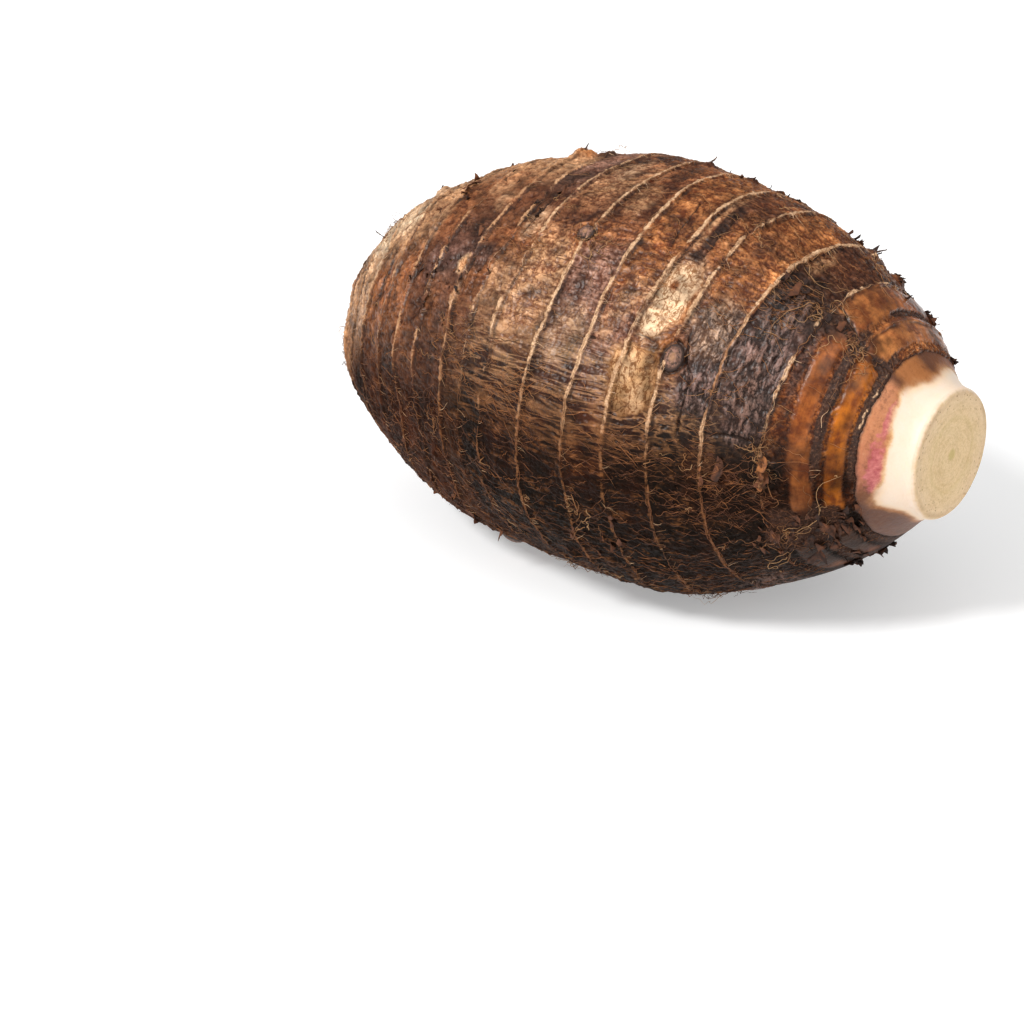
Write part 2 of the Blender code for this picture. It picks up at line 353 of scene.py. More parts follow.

# Blots of colour over the bands: station, degrees, half length and half breadth in mm, squareness, colour,
# strength.
# The black blots low on the -Y side, from 77 to 108 degrees, and the hollow blot at 89 degrees are painted
# shade. The dry blot at station 0.746 and 47 degrees is a painted sheen on the leathery skin.
BLOTS = (
    (0.360, -12, 4.6, 4.4, 2, "gold", 0.9), (0.392, -14, 3.4, 3.4, 2, "umber", 0.9),
    (0.538, -21, 2.6, 2.6, 2, "umber", 0.9), (0.848, 89, 3, 5, 2, "hollow", 1),
    (0.602, -24, 2.4, 2.4, 2, "umber", 0.9), (0.7115, 58.5, 5.4, 6.8, 2, "brown", 0.9),
    (0.5105, 31, 4.2, 4.4, 2, "gold", 0.9), (0.679, 41, 8.2, 12.8, 2.6, "brown", 1),
    (0.668, 50, 6, 8.6, 2.2, "brown", 1), (0.664, 67.5, 9.4, 11.8, 2.5, "brown", 0.9),
    (0.679, 41, 6.7, 10.9, 2.6, "cream", 1), (0.666, 50, 4.2, 6.4, 2.2, "cream", 1),
    (0.664, 67.5, 8, 10, 2.5, "honey", 1), (0.652, 64, 3, 5, 2, "cream", 0.35),
    (0.675, 72, 2.6, 4.5, 2, "cream", 0.3), (0.672, 38.5, 1.5, 2, 2, "brown", 1),
    (0.343, 48, 1.9, 2.8, 2, "cream", 1), (0.41, 152, 5.4, 9.6, 2.4, "honey", 1),
    (0.62, -118, 6, 10.6, 2.4, "cream", 0.9), (0.72, 172, 4.5, 8.5, 2.4, "honey", 1),
    (0.28, -72, 5.5, 7, 2.2, "honey", 0.9), (0.48, 10, 3.2, 7, 2, "straw", 0.7),
    (0.468, 27, 6, 3, 2.4, "umber", 0.8), (0.512, 22, 3, 7, 2.4, "umber", 0.7),
    (0.547, 30, 8, 4, 2.4, "gold", 0.6), (0.56, 12, 3.5, 8, 2, "umber", 0.5),
    (0.533, 8, 1.5, 9, 2.4, "tan", 0.5), (0.62, 30, 4, 11, 2.4, "gold", 0.7),
    (0.605, 55, 3, 5, 2, "straw", 0.55), (0.632, 22, 1.6, 9, 2.4, "umber", 0.6),
    (0.668, 12, 1.2, 15, 3, "straw", 0.8), (0.679, 16, 1.5, 11, 3, "black", 0.9),
    (0.675, 27.5, 2, 2, 2, "black", 1), (0.7, 18, 2.2, 12, 3, "gold", 0.85),
    (0.737, 22, 1.3, 14, 3, "umber", 0.5), (0.76, 14, 1.6, 14, 3, "brown", 0.6),
    (0.765, -14, 3, 9, 2.2, "gold", 0.6), (0.803, 3, 2, 7, 2, "straw", 0.75),
    (0.82, 16, 3, 5, 2, "black", 0.8), (0.746, 47, 5.4, 9.5, 2.2, "dry", 1),
    (0.55, 60, 5.5, 8.5, 2.2, "dry", 0.85), (0.62, 46, 4, 7, 2.2, "straw", 0.6),
    (0.42, 30, 3, 6, 2.2, "dry", 0.6), (0.475, -2, 3.6, 9, 2.2, "dry", 0.7),
    (0.55, 14, 3.6, 8, 2.2, "straw", 0.75), (0.745, 77, 6, 7, 2.2, "black", 0.95),
    (0.808, 88, 6, 10, 2.4, "black", 0.7), (0.805, 60, 5, 9, 2.4, "black", 0.6),
    (0.74, 14, 2.6, 6, 2.2, "umber", 0.6), (0.81, 30, 4, 6, 2.2, "black", 0.5),
    (0.805, 62, 3, 12, 2.4, "umber", 0.5), (0.704, 44, 1, 6, 2.4, "gold", 0.8),
    (0.646, 36, 1, 9, 2.4, "gold", 0.7), (0.696, 56, 2.8, 5.5, 2, "gold", 0.85),
    (0.66, 79, 5, 1.6, 2.4, "umber", 0.8), (0.62, 86, 5.5, 6, 3, "gold", 0.6),
    (0.665, 88, 2.4, 4, 2, "brown", 0.6), (0.755, 92, 2.2, 9, 2.4, "gold", 0.5),
    (0.778, 85, 1.5, 6, 2.4, "tan", 0.7), (0.8, 92, 2.6, 3, 2, "brown", 0.7),
    (0.845, 80, 2, 5, 2, "gold", 0.6), (0.43, 50, 2.4, 5, 2, "tan", 0.6),
    (0.345, 48, 1.8, 2.8, 2, "straw", 0.9), (0.352, 57, 1.6, 3.4, 2, "tan", 0.8),
    (0.31, 15, 4, 4, 2, "tan", 0.7), (0.335, 22, 3, 5, 2, "tan", 0.6), (0.28, 48, 3, 6, 2, "plum", 0.7),
    (0.33, 62, 3, 6, 2, "plum", 0.6), (0.37, 44, 3.4, 5, 2, "plum", 0.8), (0.375, 25, 3, 4, 2, "umber", 0.7),
    (0.25, 30, 1.4, 9, 2, "tan", 0.6), (0.24, 62, 4, 7, 2, "brown", 0.6),
    (0.215, 33, 2.6, 4, 2, "straw", 0.6), (0.175, 52, 1.6, 10, 2.4, "black", 0.7),
    (0.155, 64, 2, 5, 2, "gold", 0.7), (0.12, 50, 3, 9, 2, "straw", 0.5), (0.13, 20, 4, 9, 2, "umber", 0.15),
    (0.06, 40, 4, 8, 2, "brown", 0.6), (0.09, -20, 5, 9, 2, "tan", 0.6), (0.42, 100, 8, 6, 2.2, "black", 0.6),
    (0.53, 108, 12, 8, 2.4, "black", 0.5), (0.3, 100, 8, 10, 2, "umber", 0.6),
    (0.35, -70, 8, 12, 2.2, "plum", 0.6), (0.5, -100, 9, 14, 2.6, "straw", 0.6),
    (0.6, -60, 8, 12, 2.2, "gold", 0.6), (0.68, -110, 7, 16, 2.4, "plum", 0.7),
    (0.3, 160, 9, 14, 2, "umber", 0.6), (0.45, 140, 7, 10, 2, "tan", 0.5),
    (0.62, 150, 7, 14, 2.4, "black", 0.6), (0.75, 160, 7, 12, 2.2, "gold", 0.5),
    (0.8, -90, 6, 12, 2.2, "black", 0.6), (0.865, 100, 5, 5, 2, "umber", 0.5),
    (0.852, 45, 1.5, 14, 3, "plum", 0.8), (0.925, 12, 1.6, 12, 2.6, "gold", 0.6),
)

# Zones with a relief of their own: station, degrees, half length and half breadth in mm, and squareness.
WORN = (
    (0.680, 40.5, 6.2, 10.2, 2.6), (0.668, 50, 3.8, 5.6, 2.2), (0.664, 67.5, 7.4, 9.4, 2.5),
    (0.343, 48, 1.6, 2.4, 2), (0.41, 152, 5, 9, 2.4), (0.62, -118, 5.6, 10, 2.4), (0.72, 172, 4, 8, 2.4),
    (0.28, -72, 5, 6.5, 2.2),
)
LEATHER = (
    (0.75, 55, 6.2, 15.5, 3.2), (0.81, 59, 6.6, 16, 3), (0.81, 34, 5, 10, 2.4), (0.67, -96, 9, 15, 2.4),
    (0.5, 172, 10, 14, 2.4), (0.8, 158, 8, 16, 2.4),
)
# Sheath remains by the neck: the glossy ones, and the dark torn ones between them.
AMBER = (
    (0.912, 68, 2.5, 44, 6), (0.913, -2, 4, 24, 4), (0.874, -3, 5, 22, 4), (0.872, 53, 2.6, 24, 4),
    (0.88, 96, 3, 12, 3), (0.912, 132, 3, 18, 4), (0.912, -62, 3.4, 30, 4), (0.875, -52, 4, 22, 4),
    (0.905, -130, 5, 24, 4), (0.875, 135, 3.4, 18, 4),
)
TORN = (
    (0.8925, 52, 1.6, 23, 5), (0.851, 24, 3.2, 3.4, 2), (0.87, 23.5, 3.4, 3, 2), (0.893, 26.5, 3.4, 2.6, 2),
    (0.925, 27, 3.4, 2.8, 2), (0.93, 52, 1.5, 20, 5), (0.935, 95, 1, 14, 3), (0.9, 118, 6, 8, 2.2),
    (0.86, 116, 6, 8, 2.2), (0.893, -24, 1.2, 12, 3), (0.9, 160, 2, 20, 3), (0.932, 165, 1.4, 16, 3),
    (0.893, -96, 1.6, 18, 3),
)

# Cracks: the station and turn of both ends, sag of the middle in mm, half width and depth in mm.
CRACKS = (
    (0.7205, 49, 0.7385, 62, -0.9, 0.36, 1.1), (0.7385, 61, 0.733, 82, 0.6, 0.36, 1),
    (0.735, 80, 0.74, 104, 0.4, 0.3, 0.6), (0.4145, 9, 0.411, 36, 0.5, 0.42, 1.3),
    (0.4, 20, 0.392, 37, 0.4, 0.24, 0.7), (0.585, 58.8, 0.598, 59.4, 0, 0.34, 0.9),
    (0.6275, 6, 0.6385, 31, -0.5, 0.32, 0.7), (0.6505, 55.5, 0.692, 56.8, 0.6, 0.3, 0.6),
    (0.686, 4, 0.684, 31, 0.3, 0.3, 0.6), (0.757, 60, 0.748, 76, -0.6, 0.22, 0.5),
    (0.775, 78, 0.832, 79, 1.4, 0.5, 1.1), (0.842, 16, 0.905, 27, 1.2, 0.4, 0.8),
    (0.905, 27, 0.932, 26, -0.3, 0.35, 0.7), (0.17, 38, 0.168, 68, 0.5, 0.5, 1),
    (0.285, 38, 0.3, 44, 0.3, 0.3, 0.7), (0.36, -130, 0.39, -100, 0.8, 0.34, 0.9),
    (0.66, 140, 0.672, 175, 0.7, 0.32, 0.8), (0.45, -20, 0.472, -44, -0.6, 0.3, 0.7),
    (0.24, 80, 0.262, 112, 0.6, 0.3, 0.7), (0.54, -60, 0.535, -96, 0.6, 0.3, 0.8),
)

# Knobs that stand out of the skin: station, degrees, radius and height in mm, and the length of the twig on
# top.
KNOBS = (
    (0.360, -12, 3.6, 2.3, 2.2), (0.392, -14, 3.2, 1, 0), (0.538, -21, 2, 1, 2.4), (0.602, -24, 2, 1, 0.8),
    (0.645, -26, 1.6, 0.8, 0), (0.17, 5, 2.4, 1.4, 1), (0.842, 83, 2.8, 1.4, 2.4),
    (0.785, -37, 2.4, 1.6, 3.8), (0.825, -42, 2.6, 1.5, 1.6), (0.48, -90, 3.2, 2, 2.6),
    (0.7, -130, 3, 1.8, 2.2), (0.26, -110, 3, 1.8, 1.8), (0.56, 128, 3, 1.6, 2), (0.33, 110, 2.6, 1.4, 1.6),
    (0.63, -165, 2.6, 1.2, 0), (0.09, -100, 2.8, 1.4, 1.4),
)

# Side buds: station, degrees, half length, half breadth and height in mm.
BUDS = (
    (0.7115, 58.6, 2.9, 3.9, 1.2), (0.5105, 31, 2.6, 2.6, 0.9), (0.378, 152, 4, 4.6, 1.6),
    (0.592, -78, 4.4, 5, 1.9), (0.441, -118, 3.8, 4.3, 1.6), (0.652, 178, 4, 4.6, 1.4),
    (0.785, -42, 3.8, 4.2, 1.6), (0.3, -36, 3.4, 4, 1.3),
)


def union(run, turn, zones, edge):
    """The strongest of several spots at each place, with the noise in edge added to break the outline."""
    return np.max([spot(run, turn, *zone) for zone in zones], axis=0) + edge


def ring_colours(turn, stops, tones):
    """The colour at each turn, straight between the stops on either side of it and round the back."""
    degrees = np.array([stop[0] for stop in stops])
    colours = np.array([tones[stop[1]] for stop in stops])
    found = [np.interp(np.degrees(turn), degrees, colours[:, k], period=360) for k in range(3)]
    return np.stack(found, axis=-1)


def paint(run, turn, band, edge, tones):
    """The plain colour of each place: that of its band, the blots over it with broken edges, and painted
    shade underneath."""
    colour = np.zeros(run.shape + (3,))
    for k, stops in enumerate(BAND_TONES):
        inside = band == k
        colour[inside] = ring_colours((turn + 0 * run)[inside], stops, tones)
    for *place_and_size, tone, strength in BLOTS:
        share = ease(0.1, 0.95, spot(run, turn, *place_and_size) + edge) * strength
        colour = colour + (np.array(tones[tone]) - colour) * share[..., None]
    points = wrapped(run, turn)
    cloud = layered(points, pitch(7, 11), 2, 15) + 0.7 * layered(points, pitch(5, 2.4), 2, 16)
    colour = colour * np.clip(1 + 1.3 * cloud, 0.35, 1.9)[..., None]
    station = OUTLINE.at(run, OUTLINE.x) / LENGTH + 0.5
    # The lower skin is darkened with painted shade. It starts higher at the girth, and fades out over the
    # rear tip.
    start = 61 - 12 * np.exp(-(((station - 0.52) / 0.09) ** 2))
    wide = 32 + 70 * ease(0.16, 0.02, station)
    painted_shade = ease(0, 1, (off_top(turn) + 6.875 * edge - start) / wide)
    off_tip = ease(0.0, 0.09, station)
    painted_shade = (painted_shade * off_tip + 0.25 * (1 - off_tip))[..., None]
    painted_shade = painted_shade * (1 - 0.85 * ease(0.3, 0.7, union(run, turn, AMBER, 0)))[..., None]
    return colour * (1 - painted_shade * np.array((0.84, 0.89, 0.92)))


def crack_depth(run, turn, points):
    """A crack is a groove of depth d exp(-(x/w)^4) about a sagging, wavering line, pinched out towards its
    ends."""
    radius = OUTLINE.at(run, OUTLINE.radius)
    total = np.zeros(np.broadcast(run, turn).shape)
    waver = 0.6 * ripple(points, 4 * MM, 71) + 0.3 * ripple(points, 1.4 * MM, 72)
    for start, start_turn, end, end_turn, sag, half_width, depth in CRACKS:
        across = around_from(turn, start_turn) * radius
        along = run - OUTLINE.of_station(start)
        reach = math.radians(end_turn - start_turn) * OUTLINE.at(OUTLINE.of_station(start), OUTLINE.radius)
        rise = OUTLINE.of_station(end) - OUTLINE.of_station(start)
        length = math.hypot(reach, rise)
        share = (across * reach + along * rise) / length**2
        away = (along * reach - across * rise) / length
        away = away / MM - sag * 4 * share * (1 - share) - waver
        pinch = np.clip(4.2 * share * (1 - share), 0, 1) ** 0.6 * ((share > 0) & (share < 1))
        total = np.maximum(total, depth * pinch * np.exp(-((away / half_width) ** 4)))
    return total


def bud_sockets(run, turn, small):
    """A ditch round each bud, dark with painted shade, and a swollen lip outside it, both rings of a wavering
    ellipse.
    """
    radius = OUTLINE.at(run, OUTLINE.radius)
    ditch = np.zeros(np.broadcast(run, turn).shape)
    lip = np.zeros(ditch.shape)
    for station, degrees, half_length, half_breadth, _ in BUDS:
        along = (run - OUTLINE.of_station(station)) / MM / half_length
        across = around_from(turn, degrees) * radius / MM / half_breadth
        away = np.hypot(along, across) + 0.12 * small
        ditch = np.maximum(ditch, np.exp(-(((away - 1.1) / 0.17) ** 2)))
        swell = 0.7 + 0.5 * np.sin(2 * np.arctan2(along, across))
        lip = np.maximum(lip, np.exp(-(((away - 1.45) / 0.2) ** 2)) * swell)
    return ditch, lip


def knob_height(run, turn, small):
    """Each knob is h exp(-(r/R)^4), with a lumpy outline. The height is in mm."""
    radius = OUTLINE.at(run, OUTLINE.radius)
    total = np.zeros(np.broadcast(run, turn).shape)
    for station, degrees, reach, rise, _ in KNOBS:
        along = (run - OUTLINE.of_station(station)) / MM / reach
        across = around_from(turn, degrees) * radius / MM / reach
        away = np.hypot(along, across) * (1 + 0.35 * small)
        total = np.maximum(total, rise * np.exp(-(away**4)))
    return total


def lump_height(run, turn):
    """Sines round the corm that turn along it, strongest half way along."""
    station = np.clip(OUTLINE.at(run, OUTLINE.x) / LENGTH + 0.5, 0, 1)
    total = sum(high * np.sin(waves * turn + twist * station + phase) for high, waves, twist, phase in LUMPS)
    return total * np.sin(math.pi * station) ** 0.5


def low_share(turn):
    """0 on the top and the upper sides, 1 where the sides turn under."""
    return ease(66, 96, off_top(turn))


def belly_fade(turn):
    """None of the relief on the flat underneath, and all of it up the sides."""
    return ease(166, 146, off_top(turn))


def steps(value, sharpness=0.8):
    """Rounds down to whole numbers, with a steep slope just before each step."""
    whole = np.floor(value)
    return whole + ease(sharpness, 1.0, value - whole)


def patches(run, turn, edge):
    """How worn, leathery, torn and covered by sheath remains each place is, and how those remains swell."""
    worn = ease(0.42, 0.58, union(run, turn, WORN, edge))
    leather = ease(0.35, 0.65, union(run, turn, LEATHER, 1.2 * edge)) * (1 - worn)
    torn = ease(0.4, 0.6, union(run, turn, TORN, 1.6 * edge))
    swell = union(run, turn, AMBER, 0.5 * edge)
    return worn, leather, torn, ease(0.35, 0.65, swell) * (1 - torn), swell


def collar(points, behind, ahead, band):
    """The collars, in mm, and the ditches. At x mm from its scar, a collar is (1 - x/5)^2.4 of its height
    before the scar and e^(-x/0.3) of it past the scar, and a ditch is 2x e^(1 - 2x) past it."""
    waver = np.clip(0.8 + 0.8 * ripple(points, pitch(40, 9), 44), 0.1, 1.5)
    following = np.append(SCARS[:, 2], 0)[band]
    passed = np.insert(SCARS[:, 2], 0, 0)[band]
    rise = following * np.clip(1 - ahead / (5.0 * MM), 0, 1) ** 2.4
    fall = passed * np.exp(-behind / (0.3 * MM))
    ditch = behind / (0.5 * MM)
    ditch = ditch * np.exp(1 - ditch) * (band > 0)
    return (rise + fall) * waver, ditch * waver


def pale_line(points, ahead, band, small, slimness):
    """The pale line short of each scar, exp(-((x - 0.65)/w)^4) in mm, cut into dashes by noise and frayed."""
    dashes = ripple(points, pitch(30, 8), 41) + 0.5 * ripple(points, pitch(30, 2.6), 42)
    gaps = ripple(points, pitch(30, 6.5), 47) + 0.4 * ripple(points, pitch(30, 1.7), 48)
    fray = 0.8 + 0.8 * ripple(points, pitch(0.7, 1.8), 43) + 0.5 * ripple(points, pitch(3, 0.6), 46)
    unbroken = np.append(SCARS[:, 3], 0)[band]
    shown = ease(0.2, 0.8, unbroken + 0.75 * dashes + 0.5 * gaps)
    width = (0.62 + 0.2 * dashes + 0.25 * gaps + 0.25 * small) * slimness
    return np.exp(-(((ahead / MM - 0.65) / width) ** 4)) * shown * np.clip(fray, 0, 1.1)


def creased(bent, bent_fine):
    """Plain skin, about 0 to 1: broad and fine valleys where bent noise is 0, and narrow ones across them."""
    fold = valleys(bent, pitch(5.5, 1.8), 51, 2.3) ** 0.8
    fine_fold = valleys(bent_fine, pitch(2.6, 0.95), 52, 2.3) ** 0.8
    across = (1 - valleys(bent, pitch(1.6, 3.2), 53, 4.5)) ** 2
    return 0.55 * fold + 0.45 * fine_fold - 0.35 * across


def pleated(points):
    """Lengthwise pleats: thin ridges where slanting noise is 0, in broken stretches."""
    slanting = points + points[..., :1] * np.array((0, 0.16, -0.12))
    pleat = 1 - valleys(slanting, pitch(26, 1.9), 54, 3.96)
    return pleat * ease(-0.3, 0.2, ripple(slanting, pitch(9, 5), 56))


def puffed(bent_far, bent_fine):
    """Leathery skin, 0 to 1: puffs of three sizes between creases where bent noise is 0."""
    puff = valleys(bent_far, pitch(2.3, 7), 61, 2.4) ** 0.75
    fine_puff = valleys(bent_fine, pitch(1.1, 3), 62, 2.2) ** 0.8
    return 0.56 * puff + 0.3 * fine_puff + 0.14 * valleys(bent_fine, pitch(0.8, 1.1), 63, 2.2)


def bark(points, bent, uneven, rearness):
    """Skin torn like bark: unevenness rounded down to steps, and cracks where bent noise is 0."""
    layers = steps(2.4 * uneven) / 2.4
    crack = 1 - valleys(bent, pitch(2.4, 8), 64, 9)
    crack = crack * ease(0.1, 0.5, ripple(points, 9 * MM, 65) + 0.25 * rearness)
    return layers, crack * (0.15 + 0.85 * rearness)


def skin(run, turn, shape):
    """The relief of the skin, in metres, and the marks that its material reads, at each run and turn.

    The relief is a sum of the slow lumps, the collars, ditches and pale lines of the scars, creases, pleats
    low on the sides, puffs where the skin is leathery, bark at the rear, sunken worn spots, swollen sheath
    remains, cracks, knobs, and the ditches and lips round the buds. All but the lumps fades out underneath.
    """
    points = wrapped(run, turn)
    behind, ahead, band = bands(run, turn)
    station = OUTLINE.at(run, OUTLINE.x) / LENGTH + 0.5
    rearness = ease(0.48, 0.36, station)
    broad = layered(points, 15 * MM, 3, 1)
    medium = layered(points, 6 * MM, 3, 2)
    small = layered(points, 2.2 * MM, 3, 3)
    bent = points + 1.4 * MM * np.stack([medium, small, broad], axis=-1)
    bent_fine = points + 0.7 * MM * np.stack([small, medium, small], axis=-1)
    bent_far = points + 2.6 * MM * np.stack([medium, broad, small], axis=-1)

    worn, leather, torn, amber, swell = patches(run, turn, 0.3 * medium + 0.2 * small)
    plain = (1 - leather) * (1 - worn) * (1 - 0.9 * amber)
    collars, ditch = collar(points, behind, ahead, band)
    slimness = (1 - 0.55 * ease(0.84, 0.88, station)) * (1 - 0.5 * leather)
    line = pale_line(points, ahead, band, small, slimness)
    line = line * (1 - 0.75 * amber) * (1 - 0.45 * ease(70, 95, off_top(turn)))
    folds = creased(bent, bent_fine)
    side = ease(50, 80, off_top(turn) + 11.46 * broad) * ease(0.34, 0.42, station)
    side = side * ease(0.84, 0.7, station) * (1 - 0.7 * leather)
    rungs = pleated(points) * side
    puffs = puffed(bent_far, bent_fine)
    uneven = medium + 0.8 * broad
    layers, bark_crack = bark(points, bent, uneven, rearness)
    scratches = ease(0.1, 0.02, np.abs(ripple(bent_fine, pitch(1.5, 4), 66))) * ease(-0.1, 0.3, medium)
    cracks = crack_depth(run, turn, points)
    socket, lip = bud_sockets(run, turn, small)
    knobs = knob_height(run, turn, small)

    # In mm.
    height = collars - shape.groove_depth / MM * ditch + 0.16 * line
    height = height + shape.crease_depth / MM * (folds - 0.5) * plain * (1 - 0.6 * line)
    height = height + shape.pleat_depth / MM * (rungs - 0.35 * side) * plain
    height = height + shape.wrinkle_depth / MM * leather * (puffs - 0.55)
    height = height + (0.2 * medium + 0.1 * small) * (1 - 0.6 * amber)
    height = height + rearness * (0.42 * layers - 0.5 * bark_crack)
    height = height - 0.2 * bark_crack * (1 - rearness) * plain
    height = height - worn * (0.26 + 0.1 * scratches - 0.06 * small)
    height = height + amber * (0.6 * np.clip(swell, 0, 1) + 0.05 * small) - 0.15 * torn * (0.6 - small)
    height = height - 0.8 * cracks - 0.6 * socket + 0.45 * lip + knobs * (1 + 0.25 * small)

    # Crests are 1 or more on the folds and puffs, and below 0 in the creases. The material paints light on
    # the crests and shade in the creases from them.
    crest = plain * (1 - 0.6 * side) * (2.6 * folds - 1.25 + 0.4 * small) + leather * (2.4 * puffs - 1.5)
    crest = crest + rearness * (0.9 * (layers - uneven) - 1.1 * bark_crack)
    # Painted shade: the hollow mark darkens the strip just past each scar, where its collar shades it, and
    # the ditches, cracks, bud sockets and bark cracks.
    shade = np.exp(-((behind / (1.5 * MM)) ** 2)) * (0.7 + medium) * (band > 0)
    hollow = 0.4 * ditch + 0.55 * shade + cracks / 0.6 + 0.95 * socket + 0.55 * bark_crack
    marks = {
        "crest": crest + 0.5 * medium + 0.4 * broad,
        "line": line,
        "hollow": np.clip(hollow, 0, 1.2),
        "worn": worn * (1 - 0.9 * np.clip(cracks / 0.4, 0, 1)) * (1 - 0.75 * line),
        "leather": leather,
        "amber": amber,
        "torn": torn,
        "rungs": rungs * plain,
        "rear": rearness + 0 * turn,
        "side": side * plain,
        "low": low_share(turn) + 0 * run,
    }
    return lump_height(run, turn) + height * belly_fade(turn) * MM, marks


def painted_marks(run, turn, shape, tones):
    """The relief and marks of the skin, with its plain colour and its own coordinates as two marks more."""
    height, marks = skin(run, turn, shape)
    points = wrapped(run, turn)
    edge = 0.36 * layered(points, 6 * MM, 3, 2) + 0.3 * layered(points, 2.2 * MM, 3, 3)
    shift = 1.1 * MM * layered(points, 4 * MM, 2, 11)
    band = bands(run + shift, turn)[2]
    marks["paint"] = paint(run, turn, band, edge, tones)
    marks["lay"] = points
    return height, marks


def mesh_of(name, points, faces, uv=None, marks=None):
    """A smooth mesh object from an array of points and a list of arrays of faces, with its marks as
    attributes."""
    mesh = bpy.data.meshes.new(name)
    mesh.vertices.add(len(points))
    mesh.vertices.foreach_set("co", np.ascontiguousarray(points, np.float32).ravel())
    corners = np.concatenate([part.ravel() for part in faces])
    sizes = np.concatenate([np.full(len(part), part.shape[1]) for part in faces])
    mesh.loops.add(len(corners))
    mesh.loops.foreach_set("vertex_index", corners.astype(np.int32))
    mesh.polygons.add(len(sizes))
    mesh.polygons.foreach_set("loop_start", np.concatenate([[0], np.cumsum(sizes)[:-1]]).astype(np.int32))
    mesh.update(calc_edges=True)
    mesh.shade_smooth()
    if uv is not None:
        layer = mesh.uv_layers.new(name="OFBake")
        layer.uv.foreach_set("vector", np.ascontiguousarray(uv, np.float32).ravel())
    for key, values in (marks or {}).items():
        values = np.ascontiguousarray(values, np.float32)
        kind, field = ("FLOAT_VECTOR", "vector") if values.ndim == 2 else ("FLOAT", "value")
        mesh.attributes.new(key, kind, "POINT").data.foreach_set(field, values.ravel())
    obj = bpy.data.objects.new(name, mesh)
    bpy.context.scene.collection.objects.link(obj)
    return obj


def ringed(name, points, start, end, marks):
    """A closed mesh from rings of points, a row for each ring, with a fan at each end to the points given.

    u runs along the rings and v round them, so that the seam lies underneath.
    """
    rows, columns = points.shape[:2]
    index = np.arange(rows * columns).reshape(rows, columns)
    after = np.roll(index, -1, axis=1)
    quads = np.stack([index[:-1], after[:-1], after[1:], index[1:]], axis=-1).reshape(-1, 4)
    first, last = np.full(columns, rows * columns), np.full(columns, rows * columns + 1)
    start_fan = np.stack([first, after[0], index[0]], axis=-1)
    end_fan = np.stack([last, index[-1], after[-1]], axis=-1)
    u, v = np.meshgrid(np.linspace(0.01, 0.99, rows), np.arange(columns + 1) / columns, indexing="ij")
    grid = np.stack([u, v], axis=-1)
    uv_quads = np.stack([grid[:-1, :-1], grid[:-1, 1:], grid[1:, 1:], grid[1:, :-1]], axis=2)
    middle = (v[0, :-1] + v[0, 1:]) / 2
    uv_start = np.stack([np.stack([0 * middle, middle], -1), grid[0, 1:], grid[0, :-1]], 1)
    uv_end = np.stack([np.stack([0 * middle + 1, middle], -1), grid[-1, :-1], grid[-1, 1:]], 1)
    uv = np.concatenate([part.reshape(-1, 2) for part in (uv_quads, uv_start, uv_end)])
    closed = {}
    for key, value in marks.items():
        flat = value.reshape(rows * columns, -1)
        both = np.concatenate([flat, [flat[:columns].mean(axis=0), flat[-columns:].mean(axis=0)]])
        closed[key] = both if value.ndim == 3 else both[:, 0]
    everything = np.concatenate([points.reshape(-1, 3), [start, end]])
    return mesh_of(name, everything, [quads, start_fan, end_fan], uv, closed)


def columns_of(count):
    """Turns from the bottom, all the way round."""
    return -math.pi + np.arange(count) * 2 * math.pi / count


def skin_piece(name, first, last, rows, columns, shape, tones):
    """The skin from one scar's ditch to another's, as a closed drum whose ends are tucked under its
    neighbours."""
    turn = columns_of(columns)
    scars = scar_runs(turn)
    start = scars[first] + INTO_DITCH - TUCK if first is not None else np.full(columns, 0.12 * MM)
    end = scars[last] + INTO_DITCH + TUCK
    run = start + (end - start) * np.linspace(0, 1, rows)[:, None]
    height, marks = painted_marks(run, turn, shape, tones)
    outside = np.maximum(run - (end - TUCK), 0)
    if first is not None:
        outside = np.maximum(outside, (start + TUCK) - run)
    height = height - np.where(outside > 1e-7, 0.02 * MM + outside * 1.1, 0)
    points = place(run, turn, height)
    return ringed(name, points, points[0].mean(axis=0), points[-1].mean(axis=0), marks)


# Where the skin ends on the neck, as degrees and stations, and the colour of the skin there.
PEEL = (
    (-150, 0.968), (-110, 0.958), (-60, 0.955), (-25, 0.953), (-8, 0.963), (5, 0.965), (16, 0.958),
    (28, 0.951), (45, 0.952), (60, 0.957), (76, 0.959), (92, 0.957), (101, 0.951), (109, 0.945), (116, 0.945),
    (122, 0.956), (130, 0.969), (142, 0.976), (165, 0.972),
)
NECK_TONES = (
    (-150, "red"), (-90, "rose"), (-30, "red"), (-6, "umber"), (3, "gold"), (22, "gold"), (28, "umber"),
    (34, "neck_tan"), (60, "neck_tan"), (90, "rose"), (103, "red"), (114, "umber"), (160, "umber"),
)


